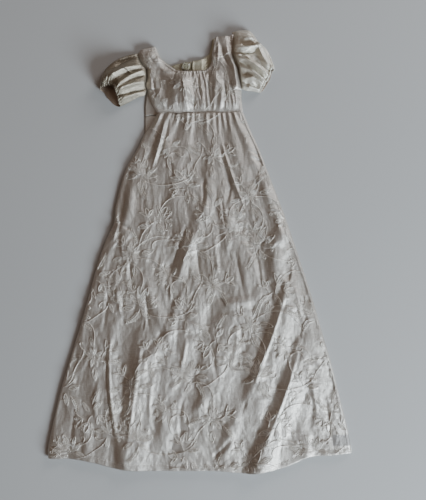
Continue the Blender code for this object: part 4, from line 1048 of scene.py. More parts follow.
def skirt_front(paths, material):
    """The front of the skirt, one panel: its folds, creases, gathers, seams and hem."""
    waist = shifted(FRONT_WAIST, 0.0, -SEAM_GAP / 2)
    left = curve((waist[0],) + FRONT_ROLLED_SIDE[1:] + SKIRT_LEFT)
    right = curve((waist[-1],) + SKIRT_RIGHT[1:])
    sheet = patch(left, right, curve(waist), curve(HEM))
    along, across = np.meshgrid(np.linspace(0, 1, SKIRT_ROWS + 1),
                                np.linspace(0, 1, SKIRT_COLUMNS + 1), indexing="ij")
    shape = along.shape
    along = along.ravel()
    across = across.ravel()
    xy = sheet(along, across)
    x, y = xy.T
    top, edge = skirt_front_top(x, y)
    small = crease_rise(SKIRT_CREASES, x, y)
    below = smooth((CALM_Y - y) / CALM_REACH)
    local_width = outline_x(SKIRT_RIGHT, y) - outline_x(FRONT_ROLLED_SIDE + SKIRT_LEFT, y)
    cloth_x = (across - 0.5) * (SKIRT_CLOTH_WIDTH + local_width) / 2
    small += CRINKLE_SHARE * crinkle_rise(SKIRT_CRINKLES, cloth_x, y)
    fine_share = CALM_SHARE + (1 - CALM_SHARE) * below
    small += fine_share * crinkle_rise(SKIRT_FINE_CRINKLES, cloth_x, y)
    small += pucker_rise(paths, x, y)
    small += fine_gathers(UNDER_WAIST, x, y)
    outer = top + smooth(edge / SKIRT_EDGE_CALM) * small
    from_right = outline_x(SKIRT_RIGHT, y) - x
    outer += SEAM_RIDGE * swell(from_right, SEAM_RIDGE_WIDTH, SEAM_RIDGE_X)
    from_hem, _ = distance_to(HEM, x, y)
    outer -= HEM_LINE * swell(from_hem, HEM_LINE_WIDTH, HEM_DEPTH)
    outer = np.maximum(outer, BACK_TOP + CLOTH + SKIRT_LEAST)
    outer = rolled(outer, edge, EDGE_ROLL)
    thickness = CLOTH + (HEM_CLOTH - CLOTH) * turned_in(from_hem, HEM_DEPTH, HEM_LINE_WIDTH)
    thickness = np.minimum(thickness, outer - BACK_TOP - LEAST_GAP)
    return backed_sheet("skirt_front_cloth", xy, outer, thickness, shape, material)


BACK_LEVEL = 0.4
BACK_CRINKLE_SHARE = 0.6
BACK_HEM_RISE = 0.4
BACK_SEAM_RISE = 0.25
BACK_SEAM_REACH = 4.0
BACK_LEAST = 0.3


def skirt_backs(material):
    """The two halves of the skirt's back, flat on the table."""
    waist = shifted(BACK_WAIST, 0.0, -SEAM_GAP / 2)
    hem = tuple((x, y + HEM_INSET) for x, y in HEM)
    seam = (BACK_OPENING_X, waist[2][1]), (0.0, hem[6][1])
    left_side = (waist[0],) + BACK_STRAIGHT_SIDE[1:] + SKIRT_LEFT[:-1] + (hem[0],)
    right_side = (waist[-1],) + SKIRT_RIGHT[1:-1] + (hem[-1],)
    gap = SEAM_GAP / 2
    near = shifted(seam, -gap, 0.0)
    far = shifted(seam, gap, 0.0)
    halves = (
        ("left", left_side, near, waist[:2] + near[:1], hem[:6] + near[1:]),
        ("right", far, right_side, far[:1] + waist[3:], far[1:] + hem[7:]),
    )
    made = []
    for name, left, right, start, end in halves:
        sheet = patch(curve(end_to_end(left, start[0], end[0])),
                      curve(end_to_end(right, start[-1], end[-1])), curve(start), curve(end))
        plan = Plan()
        plan.block(lambda u, v, s=sheet: s(1 - u, v), SKIRT_BACK_ROWS, SKIRT_BACK_COLUMNS)
        x, y = np.array(plan.points).T
        from_hem, _ = distance_to(hem, x, y)
        from_seam, _ = distance_to(seam, x, y)
        outer = BACK_LEVEL + BACK_CRINKLE_SHARE * crinkle_rise(BACK_CRINKLES, x, y)
        outer += BACK_HEM_RISE * turned_in(from_hem, HEM_DEPTH, HEM_LINE_WIDTH)
        outer += BACK_SEAM_RISE * np.exp(-(from_seam / BACK_SEAM_REACH) ** 4)
        outer = np.clip(outer, BACK_LEAST, EDGE_TOP)
        made.append(plan.build(f"skirt_back_{name}_cloth", outer, np.zeros_like(x), material))
    return made


def end_to_end(points, first, last):
    """A line's points with its ends moved to given places."""
    return (first,) + tuple(points[1:-1]) + (last,)


# The front bodice: its waist tucked under the skirt's edge, and its bound neck and armholes
WAIST_TUCK = 0.5
WAIST_LOW = 0.3
WAIST_EASE = 7.0
BODICE_EDGE_CALM = 2.5
STITCH_PITCH = 1.5
NECK_RIDGE = 0.4
NECK_PUCKER = 0.16
NECK_RIDGE_AT = 1.1
NECK_RIDGE_WIDTH = 0.8
NECK_ROLL = 1.6
NECK_ROLL_Z = 1.6
NECK_ROLL_START = 0.15
SIDE_ROLL_START = 0.1
NO_SIDE_ROLL = 10.0
ARMHOLE_GROOVE = 0.25
ARMHOLE_GROOVE_WIDTH = 0.7
BODICE_LEAST = 0.3
GROOVE_LEAST = 0.15
BODICE_FLOOR = 0.1

# The backs seen through the neck, and the snap that is sewn on them
INSIDE_ABOVE_Y = 132.0
FACING_WIDTH = 8.6
FACING_BLUR = 0.7
NECK_TURN = 3.0
EDGE_FOLD = 0.35
EDGE_FOLD_AT = 1.0
FACING_FOLD_IN = 0.8
EDGE_FOLD_WIDTH = 0.7
BACK_CLOTH = 0.5
FACING_CLOTH = 0.3
NECK_TURN_CLOTH = 0.25
BACK_CRUMPLE = (Crinkle(5.0, 9.0, 0.22, 0.5, 61),)
CRUMPLE_LEAST = -0.15
SNAP_RADIUS = 3.5
SNAP_THICKNESS = 0.8
SNAP_MARGIN = 0.6
SNAP_CLEAR = 0.15
SOCKET_X = -11.8
SOCKET_Y = 141.2
SOCKET_FLOOR = 1.3
BALL_X = -2.4
BALL_Y = 141.0
BALL_CLEAR = 0.3
BALL_LIFT_FROM = 4.2
BALL_LIFT_EASE = 4.5


def bodice_front(paths, material):
    """The front bodice, with its lower edge tucked under the skirt's."""
    waist = shifted(FRONT_WAIST, 0.0, SEAM_GAP / 2 - WAIST_TUCK)
    left_count, neck_count, right_count = BODICE_COLUMNS
    count = left_count + neck_count + right_count
    left_yoke = curve((FRONT_SIDE_LEFT[-1], NECK_FLOOR[0]))
    right_yoke = curve((NECK_FLOOR[-1], FRONT_SIDE_RIGHT[-1]))
    yoke = joined((left_yoke, left_count / count),
                  (curve(NECK_FLOOR), (left_count + neck_count) / count), (right_yoke, 1.0))
    sheet = patch(curve((waist[0],) + FRONT_SIDE_LEFT[1:]),
                  curve((waist[-1],) + FRONT_SIDE_RIGHT[1:]), curve(waist), yoke)
    plan = Plan()
    plan.block(sheet, BODICE_ROWS, count)
    plan.block(patch(curve(STRAP_LEFT_OUTER), curve(STRAP_LEFT_NECK), left_yoke,
                     curve(SHOULDER_LEFT)), STRAP_ROWS, left_count)
    plan.block(patch(curve(STRAP_RIGHT_NECK), curve(STRAP_RIGHT_OUTER), right_yoke,
                     curve(SHOULDER_RIGHT)), STRAP_ROWS, right_count)
    x, y = np.array(plan.points).T
    top, edge = bodice_front_top(x, y)
    small = crease_rise(BODICE_CREASES, x, y)
    small += neck_share(x, y) * crinkle_rise(BODICE_CRINKLES, x, y)
    small += pucker_rise(paths, x, y)
    small += fine_gathers(OVER_WAIST, x, y)
    small += fine_gathers(UNDER_NECK, x, y)
    outer = top + smooth(edge / BODICE_EDGE_CALM) * small
    from_waist, _ = distance_to(waist, x, y)
    low = np.minimum(outer, FRONT_TOP + WAIST_LOW)
    outer = low + (outer - low) * smooth(from_waist / WAIST_EASE)
    from_neck, at_neck = distance_to(NECK_LINE, x, y, 400)
    pucker = np.sin(2 * math.pi * at_neck / STITCH_PITCH)
    outer += (NECK_RIDGE + NECK_PUCKER * pucker) * swell(from_neck, NECK_RIDGE_WIDTH,
                                                         NECK_RIDGE_AT)
    armholes = np.minimum(distance_to(STRAP_LEFT_OUTER, x, y)[0],
                          distance_to(STRAP_RIGHT_OUTER, x, y)[0])
    side = np.where(y > ARMHOLE_Y, NO_SIDE_ROLL, edge)
    outer = np.maximum(outer, BACK_TOP + EDGE_CLOTH + BODICE_LEAST)
    rolling = np.minimum(from_neck + NECK_ROLL_START, side + SIDE_ROLL_START)
    outer = rolled(outer, rolling, NECK_ROLL, NECK_ROLL_Z)
    grooved = np.minimum(armholes, np.maximum(edge, 0.0))
    outer -= ARMHOLE_GROOVE * swell(grooved, ARMHOLE_GROOVE_WIDTH)
    outer = np.maximum(outer, BACK_TOP + EDGE_CLOTH + GROOVE_LEAST)
    inner = np.maximum(outer - EDGE_CLOTH, BACK_TOP + BODICE_FLOOR)
    over_socket = np.hypot(x - SOCKET_X, y - SOCKET_Y) < SNAP_RADIUS + SNAP_MARGIN
    lift = np.where(over_socket, SOCKET_FLOOR + SNAP_THICKNESS + SNAP_CLEAR - inner, 0.0)
    lift = np.maximum(lift, 0.0)
    return plan.build("bodice_front_cloth", outer + lift, inner + lift, material)


def bodice_backs(material, outside):
    """The two halves of the bodice's back. Their folded edges meet at the centre back.

    Their inner side shows through the neck, and their outer side where the left side seam
    rolls onto the front.
    """
    waist = shifted(BACK_WAIST, 0.0, SEAM_GAP / 2)
    half_gap = SEAM_GAP / 2
    strap_count = BACK_STRAP_COLUMNS
    count = BACK_STRAP_COLUMNS + BACK_NECK_COLUMNS

    edge = (BACK_OPENING_X - half_gap, waist[2][1])
    neck = BACK_NECK_LEFT[:-1] + ((edge[0], BACK_NECK_LEFT[-1][1]),)
    shoulder_line = curve((BACK_SIDE_LEFT[-1], neck[0]))
    yoke = joined((shoulder_line, strap_count / count), (curve(neck), 1.0))
    left_plan = Plan()
    left_plan.block(patch(curve((waist[0],) + BACK_SIDE_LEFT[1:]), curve((edge, neck[-1])),
                          curve(waist[:2] + (edge,)), yoke), BACK_BODICE_ROWS, count)
    left_plan.block(patch(curve(BACK_STRAP_LEFT_OUTER), curve(BACK_STRAP_LEFT_NECK),
                          shoulder_line, curve(SHOULDER_LEFT)), BACK_STRAP_ROWS, strap_count)

    edge = (BACK_OPENING_X + half_gap, waist[2][1])
    neck = ((edge[0], BACK_NECK_RIGHT[0][1]),) + BACK_NECK_RIGHT[1:]
    shoulder_line = curve((neck[-1], BACK_SIDE_RIGHT[-1]))
    yoke = joined((curve(neck), BACK_NECK_COLUMNS / count), (shoulder_line, 1.0))
    right_plan = Plan()
    right_plan.block(patch(curve((edge, neck[0])), curve((waist[-1],) + BACK_SIDE_RIGHT[1:]),
                           curve((edge,) + waist[3:]), yoke), BACK_BODICE_ROWS, count)
    right_plan.block(patch(curve(BACK_STRAP_RIGHT_NECK), curve(BACK_STRAP_RIGHT_OUTER),
                           shoulder_line, curve(BACK_SHOULDER_RIGHT)), BACK_STRAP_ROWS,
                     strap_count)

    made = []
    halves = (
        ("left", left_plan, BACK_STRAP_LEFT_NECK[::-1] + BACK_NECK_LEFT[1:]),
        ("right", right_plan, BACK_NECK_RIGHT + BACK_STRAP_RIGHT_NECK[1:]),
    )
    for name, plan, neck_line in halves:
        x, y = np.array(plan.points).T
        from_opening = np.abs(x - BACK_OPENING_X)
        from_neck, _ = distance_to(neck_line, x, y)
        fold = swell(from_opening, EDGE_FOLD_WIDTH, EDGE_FOLD_AT)
        if name == "left":
            fold += swell(from_opening, EDGE_FOLD_WIDTH, FACING_WIDTH - FACING_FOLD_IN)
        thickness = BACK_CLOTH + FACING_CLOTH * turned_in(from_opening, FACING_WIDTH, FACING_BLUR)
        thickness += NECK_TURN_CLOTH * turned_in(from_neck, NECK_TURN, HEM_LINE_WIDTH)
        thickness += np.maximum(crinkle_rise(BACK_CRUMPLE, x, y), CRUMPLE_LEAST)
        thickness += EDGE_FOLD * fold
        base = np.zeros_like(x)
        if name == "right":
            away = np.hypot(x - BALL_X, y - BALL_Y)
            lifted = 1 - smooth((away - BALL_LIFT_FROM) / BALL_LIFT_EASE)
            base = (SNAP_THICKNESS + BALL_CLEAR) * lifted
        obj = plan.build(f"bodice_back_{name}_cloth", base + thickness, base, material)
        obj.data.materials.append(outside)
        for face in obj.data.polygons:
            if face.center.y < INSIDE_ABOVE_Y * MM:
                face.material_index = 1
        made.append(obj)
    return made


# The socket's profile from its middle out: radius, and height over its underside
SOCKET_PROFILE = ((0.45, 0.35), (0.55, 0.78), (1.15, 0.80), (1.35, 0.42), (2.05, 0.40),
                  (2.2, 0.78), (2.55, 0.80), (2.75, 0.45), (3.3, 0.42), (3.5, 0.25), (3.5, 0.0))
SOCKET_SIDES = 64
SEW_ANGLES = (28.0, 117.0, 208.0, 299.0)


def turned_socket(material):
    """The socket half of the snap, turned from its profile, with a closed flat underside."""
    angles = np.linspace(0.0, 2 * math.pi, SOCKET_SIDES, endpoint=False)
    points = [(SOCKET_X + radius * math.cos(angle), SOCKET_Y + radius * math.sin(angle),
               SOCKET_FLOOR + height) for radius, height in SOCKET_PROFILE for angle in angles]
    numbers = np.arange(len(points)).reshape(len(SOCKET_PROFILE), SOCKET_SIDES)
    numbers = np.concatenate((numbers, numbers[:, :1]), axis=1)
    faces = grid_faces(numbers).tolist()
    faces += [numbers[0, :-1].tolist(), numbers[-1, :-1][::-1].tolist()]
    uv = np.array(points)[:, :2]
    return add_mesh("snap_socket_turned", points, faces, uv, material)


def sewing_bars():
    """Short bars of sewing thread over the socket's rim, two side by side at each place."""
    bars = []
    for degrees in SEW_ANGLES:
        for turn in (-7.0, 7.0):
            angle = math.radians(degrees + turn)
            reach = np.array((2.6, 3.0, 3.4, 3.8, 4.2))
            height = SOCKET_FLOOR + np.array((0.75, 0.7, 0.62, 0.3, -0.2))
            bars.append(np.column_stack((SOCKET_X + reach * math.cos(angle),
                                         SOCKET_Y + reach * math.sin(angle), height)))
    return bars


def dome(across):
    """Height across a sleeve as a share of its full height: steep at the two edges."""
    return (1 - np.abs(2 * across - 1) ** DOME_SIDES) ** DOME_CROWN


MOUTH_GATHERS = 17
MOUTH_GATHER_RISE = 1.6
MOUTH_SCALLOP = 0.06
CASING_AT = 0.93
CASING_DEPTH = 0.5
SEAM_Z = 1.3
SEAM_REACH = 0.025
TUCK_REACH = 0.045
ARMHOLE_GATHERS = 19
ARMHOLE_GATHER_RISE = 0.5
ARMHOLE_GATHER_REACH = 0.25
MOUTH_START = 0.72
CASING_WIDTH = 0.02
EDGE_SLACK = 0.2


def ripple(across, count, seed):
    """Uneven small gathers side by side, each from 0 to 1."""
    rng = np.random.default_rng(seed)
    phase = np.interp(across, np.linspace(0, 1, count + 1),
                      np.arange(count + 1) + rng.uniform(-0.3, 0.3, count + 1))
    height = np.interp(across, np.linspace(0, 1, count), rng.uniform(0.45, 1.0, count))
    return height * (0.5 - 0.5 * np.cos(2 * math.pi * phase)) ** 0.8


def sleeve_cloth(sleeve, material, inside):
    """A puffed sleeve: an open tube that lies on the table, gathered at both ends."""
    armhole = curve(sleeve.armhole)
    edge_up = curve(sleeve.upper)
    edge_low = curve(sleeve.lower)
    upper = patch(edge_up, edge_low, armhole, curve(sleeve.mouth_front))
    lower = patch(edge_up, edge_low, armhole, curve(sleeve.mouth_back))
    stations = np.linspace(0.0, 1.0, SLEEVE_RINGS)
    over = (1 - np.cos(np.linspace(0.0, math.pi, SLEEVE_TOP_POINTS))) / 2
    under = (1 - np.cos(np.linspace(math.pi, 0.0, SLEEVE_FLOOR_POINTS + 2)[1:-1])) / 2
    heights = curve(np.stack((np.linspace(0, 1, len(sleeve.heights)), sleeve.heights), axis=1))

    along, across = np.meshgrid(stations, over, indexing="ij")
    shape = along.shape
    along = along.ravel()
    across = across.ravel()
    mouth = smooth((along - MOUTH_START) / (1 - MOUTH_START))
    gathers = ripple(across, MOUTH_GATHERS, sleeve.seed)
    plan = upper(along * (1 - MOUTH_SCALLOP * mouth * gathers) - SEAM_REACH * (1 - along) ** 8,
                 across)
    x, y = plan.T
    height = heights(along)[:, 1]
    clear = smooth(np.minimum(across, 1 - across) / SLEEVE_EDGE_SHARE)
    z = SLEEVE_EDGE_Z + height * dome(across)
    small = fold_rise(sleeve.folds, x, y) + crease_rise(sleeve.creases, x, y)
    small += crinkle_rise(SLEEVE_CRINKLES, across * 55.0 + sleeve.seed, along * 42.0)
    small += MOUTH_GATHER_RISE * mouth * (gathers - 0.4)
    cap = ripple(across, ARMHOLE_GATHERS, sleeve.seed + 1)
    small += ARMHOLE_GATHER_RISE * (1 - smooth(along / ARMHOLE_GATHER_REACH)) * (cap - 0.3)
    z += clear * small
    z -= CASING_DEPTH * swell(along, CASING_WIDTH, CASING_AT) * clear
    tuck = swell(along, TUCK_REACH)
    z = np.maximum(z, SLEEVE_EDGE_Z - EDGE_SLACK)
    z += (SEAM_Z - z) * tuck
    top = np.column_stack((plan, z)).reshape(shape + (3,))

    along, across = np.meshgrid(stations, under, indexing="ij")
    shape = along.shape
    plan = lower(along.ravel(), across.ravel())
    tuck = swell(along.ravel(), TUCK_REACH)
    edge_z = SLEEVE_EDGE_Z + (SEAM_Z - SLEEVE_EDGE_Z) * tuck
    z = edge_z * (1 - np.clip(FLOOR_FLATNESS * dome(across.ravel()), 0.0, 1.0))
    floor = np.column_stack((plan, z)).reshape(shape + (3,))

    rings = np.concatenate((top, floor), axis=1)
    around = rings.shape[1]
    numbers = np.arange(rings.shape[0] * around).reshape(rings.shape[:2])
    numbers = np.concatenate((numbers, numbers[:, :1]), axis=1)
    faces = grid_faces(numbers)[:, ::-sleeve.turn]
    steps = np.linalg.norm(np.diff(rings, axis=1, append=rings[:, :1]), axis=2)
    girth = np.cumsum(steps, axis=1).mean(axis=0)
    girth = np.concatenate(([0.0], girth[:-1]))
    lengths = np.linalg.norm(np.diff(rings, axis=0, prepend=rings[:1]), axis=2).mean(axis=1)
    uv = np.stack(np.meshgrid(girth, np.cumsum(lengths)), axis=-1).reshape(-1, 2)
    obj = add_mesh(f"{sleeve.name}_cloth", rings.reshape(-1, 3), faces.tolist(), uv, material)
    cloth = obj.modifiers.new("cloth", "SOLIDIFY")
    cloth.thickness = CLOTH * MM
    cloth.offset = -1.0
    # The inner faces take the second material: the sleeve's dark painted shade inside
    cloth.material_offset = 1
    obj.data.materials.append(inside)
    return settle(obj)


# Geometry Nodes
class Tree:
    """A Geometry Nodes tree with named inputs."""

    def __init__(self, name, inputs):
        self.group = bpy.data.node_groups.new(name, "GeometryNodeTree")
        add = self.group.interface.new_socket
        add("Geometry", in_out="INPUT", socket_type="NodeSocketGeometry")
        for label, kind in inputs.items():
            add(label, in_out="INPUT", socket_type=kind)
        add("Geometry", in_out="OUTPUT", socket_type="NodeSocketGeometry")
        self.start = self.group.nodes.new("NodeGroupInput").outputs
        self.end = self.group.nodes.new("NodeGroupOutput")

    def node(self, kind, settings=None, sockets=None):
        """A node from its type, its settings, and the values or links of its sockets."""
        made = self.group.nodes.new(kind)
        for key, value in (settings or {}).items():
            setattr(made, key, value)
        for key, value in (sockets or {}).items():
            if isinstance(value, bpy.types.NodeSocket):
                self.group.links.new(value, made.inputs[key])
            else:
                made.inputs[key].default_value = value
        return made.outputs

    def finish(self, geometry, material):
        """Realizes the instances, sets the material and ends the tree."""
        whole = self.node("GeometryNodeRealizeInstances", {}, {"Geometry": geometry})
        smoothed = self.node("GeometryNodeSetShadeSmooth", {}, {"Geometry": whole[0]})
        painted = self.node("GeometryNodeSetMaterial", {},
                            {"Geometry": smoothed[0], "Material": material})
        self.group.links.new(painted[0], self.end.inputs[0])

    def run(self, obj, values):
        """Runs the tree on an object and keeps the result as its mesh."""
        modifier = obj.modifiers.new(self.group.name, "NODES")
        modifier.node_group = self.group
        for item in self.group.interface.items_tree:
            if item.item_type == "SOCKET" and item.in_out == "INPUT" and item.name in values:
                modifier[item.identifier] = values[item.name]
        return settle(obj)


def thread_tree():
    """Sweeps a round thread along edges, as thick as each point says."""
    tree = Tree("thread", {"Radius": "NodeSocketFloat", "Sides": "NodeSocketInt",
                           "Material": "NodeSocketMaterial"})
    line = tree.node("GeometryNodeMeshToCurve", {}, {"Mesh": tree.start["Geometry"]})
    share = tree.node("GeometryNodeInputNamedAttribute", {"data_type": "FLOAT"},
                      {"Name": "fullness"})
    circle = tree.node("GeometryNodeCurvePrimitiveCircle", {"mode": "RADIUS"},
                       {"Resolution": tree.start["Sides"], "Radius": tree.start["Radius"]})
    swept = tree.node("GeometryNodeCurveToMesh", {},
                      {"Curve": line[0], "Profile Curve": circle[0], "Scale": share[0],
                       "Fill Caps": True})
    tree.finish(swept[0], tree.start["Material"])
    return tree


def stitch_tree():
    """Lays small rounded stitches end to end along edges."""
    tree = Tree("stitches", {"Pitch": "NodeSocketFloat", "Length": "NodeSocketFloat",
                             "Radius": "NodeSocketFloat", "Material": "NodeSocketMaterial"})
    line = tree.node("GeometryNodeMeshToCurve", {}, {"Mesh": tree.start["Geometry"]})
    even = tree.node("GeometryNodeCurveToPoints", {"mode": "LENGTH"},
                     {"Curve": line[0], "Length": tree.start["Pitch"]})
    ball = tree.node("GeometryNodeMeshUVSphere", {}, {"Segments": 8, "Rings": 6, "Radius": 0.5})
    size = tree.node("ShaderNodeCombineXYZ", {}, {"X": tree.start["Radius"],
                                                  "Y": tree.start["Radius"],
                                                  "Z": tree.start["Length"]})
    turn = tree.node("FunctionNodeAlignRotationToVector", {"axis": "Z"},
                     {"Vector": even["Tangent"]})
    placed = tree.node("GeometryNodeInstanceOnPoints", {},
                       {"Points": even["Points"], "Instance": ball[0], "Rotation": turn[0],
                        "Scale": size[0]})
    tree.finish(placed[0], tree.start["Material"])
    return tree


def lines_object(name, paths, fullness=None):
    """An object of edges along paths in millimetres, each point with its share of fullness."""
    points = np.vstack(paths) * MM
    edges = []
    first = 0
    for path in paths:
        edges += [(index, index + 1) for index in range(first, first + len(path) - 1)]
        first += len(path)
    mesh = bpy.data.meshes.new(name)
    mesh.from_pydata(points.tolist(), edges, [])
    layer = mesh.attributes.new("fullness", "FLOAT", "POINT")
    shares = np.ones(len(points)) if fullness is None else np.concatenate(fullness)
    layer.data.foreach_set("value", shares.astype(np.float32))
    obj = bpy.data.objects.new(name, mesh)
    bpy.context.scene.collection.objects.link(obj)
    return obj


def on_cloth(obj, paths, lift):
    """Flat paths laid on an object's surface from above, lifted by some millimetres."""
    tree = bvhtree.BVHTree.FromObject(obj, bpy.context.evaluated_depsgraph_get())
    laid = []
    for path in paths:
        points = []
        for x, y in path:
            hit, normal, _, _ = tree.ray_cast(Vector((x * MM, y * MM, 0.05)), Vector((0, 0, -1)))
            if hit is not None:
                point = hit / MM + normal * lift
                points.append((point.x, point.y, point.z))
        if len(points) > 3:
            laid.append(np.array(points))
    return laid


def tapered(paths):
    """Fullness along each path: thinner at both ends."""
    shares = []
    for path in paths:
        place = np.linspace(0.0, 1.0, len(path))
        ends = np.minimum(place, 1 - place) * len(path)
        shares.append(0.55 + 0.45 * smooth(ends / 3.0))
    return shares


SKIRT_THREAD = 0.24
BODICE_THREAD = 0.2
THREAD_SIDES = 4
SEWING_THREAD = 0.14
THREAD_SUNK = 0.9
STITCH_SPACING = 2.3
STITCH_LENGTH = 1.7
STITCH_RADIUS = 0.3
STITCH_LIFT = 0.02


def embroidery(cloth, name, paths, radius, tree, material):
    """Raised thread on a piece of cloth."""
    laid = on_cloth(cloth, paths, radius * THREAD_SUNK)
    obj = lines_object(name, laid, tapered(laid))
    return tree.run(obj, {"Radius": radius * MM, "Sides": THREAD_SIDES, "Material": material})


def stitches(cloth, name, paths, tree, material):
    """A row of stitches on a piece of cloth."""
    obj = lines_object(name, on_cloth(cloth, paths, STITCH_LIFT))
    return tree.run(obj, {"Pitch": STITCH_SPACING * MM, "Length": STITCH_LENGTH * MM,
                          "Radius": STITCH_RADIUS * MM, "Material": material})


# Materials
class Field:
    """A shader socket that takes part in sums and products."""

    def __init__(self, paint, socket):
        self.paint = paint
        self.socket = socket

    def math(self, operation, *values):
        node = self.paint.node("ShaderNodeMath", {"operation": operation}, dict(enumerate(values)))
        return Field(self.paint, node.outputs[0])

    def __add__(self, other):
        return self.math("ADD", self, other)

    def __rsub__(self, other):
        return self.math("SUBTRACT", other, self)

    def __mul__(self, other):
        return self.math("MULTIPLY", self, other)

    __radd__ = __add__

    def between(self, low, high):
        """Zero below low, one above high, and smooth from one to the other."""
        node = self.paint.node("ShaderNodeMapRange", {"interpolation_type": "SMOOTHSTEP"},
                               {"Value": self, "From Min": low, "From Max": high})
        return Field(self.paint, node.outputs[0])


class Paint:
    """One material and its nodes."""

    def __init__(self, name):
        self.material = bpy.data.materials.new(name)
        self.material.use_nodes = True
        self.tree = self.material.node_tree
        self.shader = self.tree.nodes["Principled BSDF"]

    def node(self, kind, settings=None, sockets=None):
        """A node from its type, its settings, and the values or links of its sockets."""
        made = self.tree.nodes.new(kind)
        for key, value in (settings or {}).items():
            setattr(made, key, value)
        for key, value in (sockets or {}).items():
            self.feed(made.inputs[key], value)
        return made

    def feed(self, socket, value):
        """Links a field to a socket, or sets its value."""
        if isinstance(value, Field):
            self.tree.links.new(value.socket, socket)
        else:
            socket.default_value = value

    def place(self, scale=(1.0, 1.0, 1.0), turn=0.0, flat=True):
        """Coordinates in metres, on the flat cloth or in space, scaled and turned."""
        if flat:
            source = self.node("ShaderNodeUVMap", {"uv_map": "cloth"}).outputs[0]
        else:
            source = self.node("ShaderNodeTexCoord").outputs["Object"]
        node = self.node("ShaderNodeMapping", {}, {
            "Vector": Field(self, source), "Scale": scale, "Rotation": (0.0, 0.0, turn)})
        return Field(self, node.outputs[0])

    def split(self, vector):
        """The x and y of a vector."""
        node = self.node("ShaderNodeSeparateXYZ", {}, {"Vector": vector})
        return Field(self, node.outputs[0]), Field(self, node.outputs[1])

    def noise(self, vector, detail=2.0, roughness=0.5):
        """Uneven noise, with one swell to each unit of the vector."""
        node = self.node("ShaderNodeTexNoise", {}, {
            "Vector": vector, "Scale": 1.0, "Detail": detail, "Roughness": roughness})
        return Field(self, node.outputs[0])

    def wave(self, vector, direction, scale):
        """Even waves across one direction."""
        node = self.node("ShaderNodeTexWave", {"bands_direction": direction}, {
            "Vector": vector, "Scale": scale, "Detail": 0.0})
        return Field(self, node.outputs[1])

    def mix(self, share, first, second):
        """A colour from first to second."""
        node = self.node("ShaderNodeMix", {"data_type": "RGBA"}, {0: share, 6: first, 7: second})
        return Field(self, node.outputs[2])

    def set(self, **values):
        """Gives the shader's sockets their values or links."""
        for key, value in values.items():
            self.feed(self.shader.inputs[key.replace("_", " ")], value)

    def bump(self, height, strength, distance):
        """Raises the surface's normal by a height."""
        node = self.node("ShaderNodeBump", {}, {
            "Height": height, "Strength": strength, "Distance": distance})
        self.set(Normal=Field(self, node.outputs[0]))


SILK_LIGHT = (0.64, 0.60, 0.55, 1.0)
SILK_DEEP = (0.49, 0.44, 0.385, 1.0)
SILK_AGED = (0.50, 0.42, 0.34, 1.0)
SILK_PATCH = (0.34, 0.315, 0.295, 1.0)
# The left sleeve's tones: darker than the body silk, painted shade for a sleeve that lies away from
# the key light, and a little yellower
LEFT_SLEEVE_PAINTED_SHADE_PALE = (0.385, 0.345, 0.275, 1.0)
LEFT_SLEEVE_PAINTED_SHADE_DEEP = (0.32, 0.265, 0.195, 1.0)
# The right sleeve's tones: lighter than the body silk, painted light on a sleeve whose folds the key
# light doesn't bring out
RIGHT_SLEEVE_PAINTED_LIGHT_PALE = (0.82, 0.78, 0.69, 1.0)
RIGHT_SLEEVE_PAINTED_LIGHT_DEEP = (0.70, 0.65, 0.55, 1.0)
INSIDE_LIGHT = (0.62, 0.59, 0.46, 1.0)
INSIDE_DEEP = (0.50, 0.47, 0.35, 1.0)
# Inner faces of the sleeves: dark reddish painted shade inside the tube
HOLLOW_PAINTED_SHADE_PALE = (0.46, 0.36, 0.28, 1.0)
HOLLOW_PAINTED_SHADE_DEEP = (0.34, 0.25, 0.18, 1.0)
THREAD_LIGHT = (0.82, 0.77, 0.70, 1.0)
THREAD_DEEP = (0.70, 0.64, 0.57, 1.0)
PLASTIC_LIGHT = (0.36, 0.335, 0.24, 1.0)
PLASTIC_DEEP = (0.28, 0.255, 0.18, 1.0)
FLOOR_LIGHT = (0.46, 0.452, 0.44, 1.0)
FLOOR_DEEP = (0.50, 0.492, 0.48, 1.0)

# The plain rectangle near the skirt's lower right corner: left, right, low and high edge
PATCH_BOX = (98.5, 112.0, -150.6, -142.8)
PATCH_BLUR = 0.6
PATCH_SHARE = 0.9
WEAVE_PITCH = 0.42
WAVES_PER_METRE = 2.0 * 1000.0 / WEAVE_PITCH / 6.2832


def silk(name, light, deep):
    """Slubbed silk: uneven threads both ways, faint ageing, and a soft sheen."""
    paint = Paint(name)
    slubs = paint.noise(paint.place((260.0, 2400.0, 1.0)), 3.0, 0.55)
    warp = paint.noise(paint.place((2600.0, 220.0, 1.0)), 2.0, 0.5)
    ageing = paint.noise(paint.place((14.0, 14.0, 14.0)), 3.0, 0.6)
    cast = slubs * 0.5 + warp * 0.3 + ageing * 0.35
    colour = paint.mix(cast.between(0.40, 0.78), light, deep)
    colour = paint.mix(ageing.between(0.58, 0.80) * 0.35, colour, SILK_AGED)
    x, y = paint.split(paint.place(flat=False))
    left, right, low, high = (edge * MM for edge in PATCH_BOX)
    blur = PATCH_BLUR * MM
    patched = (x.between(left, left + blur) * (1 - x.between(right, right + blur))
               * y.between(low, low + blur) * (1 - y.between(high, high + blur)))
    colour = paint.mix(patched * PATCH_SHARE, colour, SILK_PATCH)
    paint.set(Base_Color=colour, Roughness=0.38 + slubs * 0.14)
    weave = (paint.wave(paint.place(), "X", WAVES_PER_METRE)
             + paint.wave(paint.place(), "Y", WAVES_PER_METRE))
    crumple = paint.noise(paint.place((420.0, 200.0, 420.0)), 3.0, 0.6)
    paint.bump(slubs * 0.45 + warp * 0.3 + weave * 0.1 + crumple * 1.1, 0.5, 0.0006)
    paint.set(Metallic=0.76, Specular_IOR_Level=0.7)
    return paint.material


